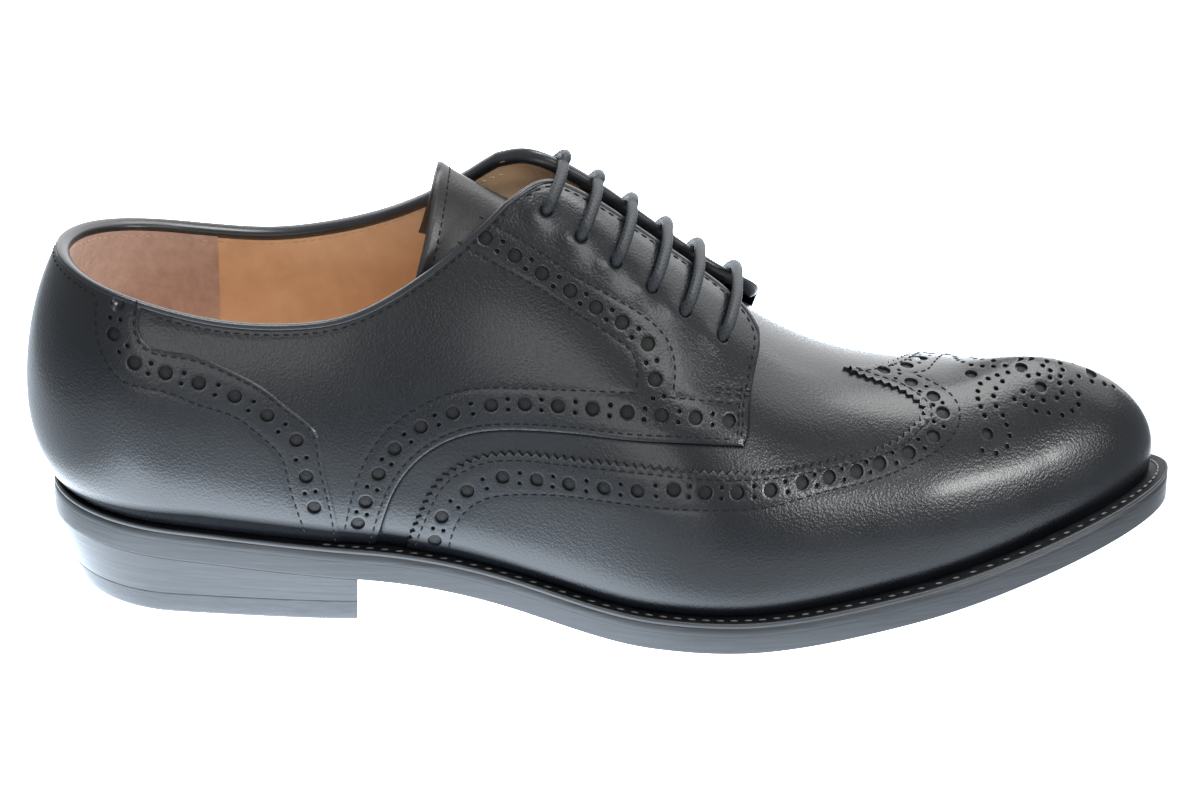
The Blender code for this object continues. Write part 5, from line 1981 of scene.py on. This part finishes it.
@dataclass(frozen=True)
class Studio:
    """Pale floor, soft light and the camera.

    Attributes:
        target: Point that the camera looks at.
        distance: Distance of the camera.
        elevation: Its height angle in degrees.
        roll: Turn of the picture in degrees, clockwise.
        focal_px: Focal length in pixels of a picture 1200 wide.
        picture_width: That width.
        table: Where the white table starts to fade and ends, in metres: left, right and front.
        lit: The same for the part of it that is lit from below.
        table_spread: How fast both widen towards the back.
        table_slant: How far their front edges turn away from the toe.
        table_glow: Brightness of the table.
        lit_glow: Further brightness of the lit part.
        floor_glow: Brightness of the floor around.
        table_tint: Cool tint of the table's light.
        lights: Name, place, width and height, and brightness of each soft box.
    """

    target: tuple[float, float, float] = (-0.92, 0.82, 50.93)
    distance: float = 1200.0
    elevation: float = 23.0
    roll: float = 1.5
    focal_px: float = 4368.0
    picture_width: float = 1200.0
    table: tuple[tuple[float, float], ...] = ((0.3, 0.34), (0.175, 0.215), (0.17, 0.21))
    lit: tuple[tuple[float, float], ...] = ((0.155, 0.2), (-0.09, 0.23), (0.056, 0.09))
    table_spread: float = 0.25
    table_slant: float = 0.18
    table_glow: float = 0.95
    lit_glow: float = 4.7
    floor_glow: float = 0.2
    table_tint: tuple[float, float, float, float] = (0.88, 1.0, 1.13, 1.0)
    lights: tuple[tuple, ...] = (
        ("toe_strip", (1.24, -0.92, 0.48), (0.42, 0.2), 27.0),
        ("front_strip", (-0.4, -1.55, 0.2), (0.9, 0.4), 2.2),
        ("back_wall", (0.0, 1.5, 0.85), (3.2, 1.5), 2.0),
        ("back_right", (1.25, 0.5, 1.25), (1.3, 0.9), 1.6),
        ("top_front", (0.5, -1.1, 1.06), (0.75, 0.4), 4.6),
        ("overhead", (-0.1, 0.0, 1.2), (0.45, 0.45), 12.0),
        ("top_back", (0.45, 0.34, 1.3), (0.65, 0.6), 6.0),
    )

    def camera(self) -> None:
        """Set the camera at the photograph's angle."""
        e, r = math.radians(self.elevation), math.radians(self.roll)
        back = np.array((0.0, -math.cos(e), math.sin(e)))
        right = np.array((1.0, 0.0, 0.0))
        up = np.cross(back, right)
        turned_right = right * math.cos(r) + up * math.sin(r)
        turned_up = up * math.cos(r) - right * math.sin(r)
        place = (np.array(self.target) + back * self.distance) * MM
        view = bpy.data.cameras.new("camera")
        view.sensor_width = 36.0
        view.lens = self.focal_px / self.picture_width * view.sensor_width
        made = new_object("camera", view)
        axes = np.column_stack([turned_right, turned_up, back, place])
        made.matrix_world = Matrix([*axes.tolist(), (0.0, 0.0, 0.0, 1.0)])
        bpy.context.scene.camera = made

    def light(self, name: str, place: tuple[float, float, float], size: tuple[float, float],
              brightness: float, aim: tuple[float, float, float] = (0.0, 0.0, 0.04)) -> None:
        """Hang one soft box.

        Args:
            name: Name of the light.
            place: Its place in metres.
            size: Its width and height in metres.
            brightness: Radiance of its face.
            aim: Point that it faces.
        """
        lamp = bpy.data.lights.new(name, "AREA")
        lamp.shape = "RECTANGLE"
        lamp.size, lamp.size_y = size
        lamp.energy = brightness * math.pi * size[0] * size[1]
        made = new_object(name, lamp)
        made.location = place
        made.rotation_euler = (Vector(aim) - Vector(place)).to_track_quat("-Z", "Y").to_euler()
        made.visible_camera = False

    def floor(self) -> None:
        """A wide pale floor with a lit white table top under the shoe, as in a product studio.

        The sheet itself is grey and its paleness is a glow, so that it throws little light back on
        the leather.
        """
        mesh = bpy.data.meshes.new("floor")
        reach, below = 6.0, -0.0003
        mesh.from_pydata([(-reach, -reach, below), (reach, -reach, below), (reach, reach, below),
                          (-reach, reach, below)], [], [(0, 1, 2, 3)])
        paper, tree, shader = new_material("white_paper_sweep")
        shader.inputs["Base Color"].default_value = hex_colour("#56585a")
        shader.inputs["Roughness"].default_value = 0.9
        shader.inputs["Emission Color"].default_value = self.table_tint
        place = add_node(tree, "ShaderNodeTexCoord").outputs["Object"]
        ways = ((-1.0, 0.0, 0.0), (1.0, -self.table_spread, 0.0), (self.table_slant, -1.0, 0.0))
        glow = self.floor_glow
        for edges, share in ((self.table, self.table_glow), (self.lit, self.lit_glow)):
            inside = 1.0
            for way, (start, end) in zip(ways, edges):
                out = add_node(tree, "ShaderNodeVectorMath", {0: place, 1: way},
                               operation="DOT_PRODUCT").outputs["Value"]
                inside = add_node(tree, "ShaderNodeMapRange", {
                    "Value": out, "From Min": start, "From Max": end, "To Min": inside,
                    "To Max": 0.0}, interpolation_type="SMOOTHSTEP").outputs[0]
            glow = add_node(tree, "ShaderNodeMath", {0: inside, 1: share, 2: glow},
                            operation="MULTIPLY_ADD").outputs[0]
        tree.links.new(glow, shader.inputs["Emission Strength"])
        mesh.materials.append(paper)
        new_object("floor", mesh)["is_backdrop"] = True

    def build(self) -> None:
        """Camera, floor and lights."""
        self.camera()
        self.floor()
        world = bpy.data.worlds.new("studio")
        bpy.context.scene.world = world
        world.use_nodes = True
        sky = world.node_tree.nodes["Background"].inputs
        sky["Color"].default_value, sky["Strength"].default_value = hex_colour("#dfe5ea"), 0.5
        for row in self.lights:
            self.light(*row)
        bpy.context.scene.view_settings.view_transform = "Standard"


def main() -> None:
    """Build every piece, in order."""
    Studio().build()
    last = Last()
    lattice = last.lattice(LATTICE)
    LOG.info("last: %d places", len(lattice))
    seams = Stitches("seam_stitches", BLACK_THREAD, (1.85, 0.6, 0.42))
    welt = Stitches("welt_stitches", GREY_THREAD, (2.4, 0.7, 0.5))
    pale = Stitches("lining_stitches", PALE_THREAD, (1.7, 0.5, 0.35))
    upper = Upper(last, lattice, seams)
    vamp = upper.wall("vamp_leather", BLACK_CALF, under_facing, 2.0)
    settle(vamp, "black_leather", "upper")
    upper.build_wing()
    upper.build_counter()
    for side in Side:
        upper.build_quarter(side)
    collar = Collar(last, upper)
    collar.build_binding()
    collar.build_lining(pale)
    throat = Throat(last)
    throat.build_tongue(seams)
    throat.build_laces()
    sole = SoleUnit()
    sole.build_sole(welt)
    sole.build_heel()
    sole.build_sock()
    for stitches in (seams, welt, pale):
        settle(stitches.build(), "waxed_cord")
    boxes = {name: [list(corner) for corner in box]
             for name, box in (("cad", CAD_BOX), ("visual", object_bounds()))}


if __name__ == "__main__":
    logging.basicConfig(level=logging.INFO)
    main()
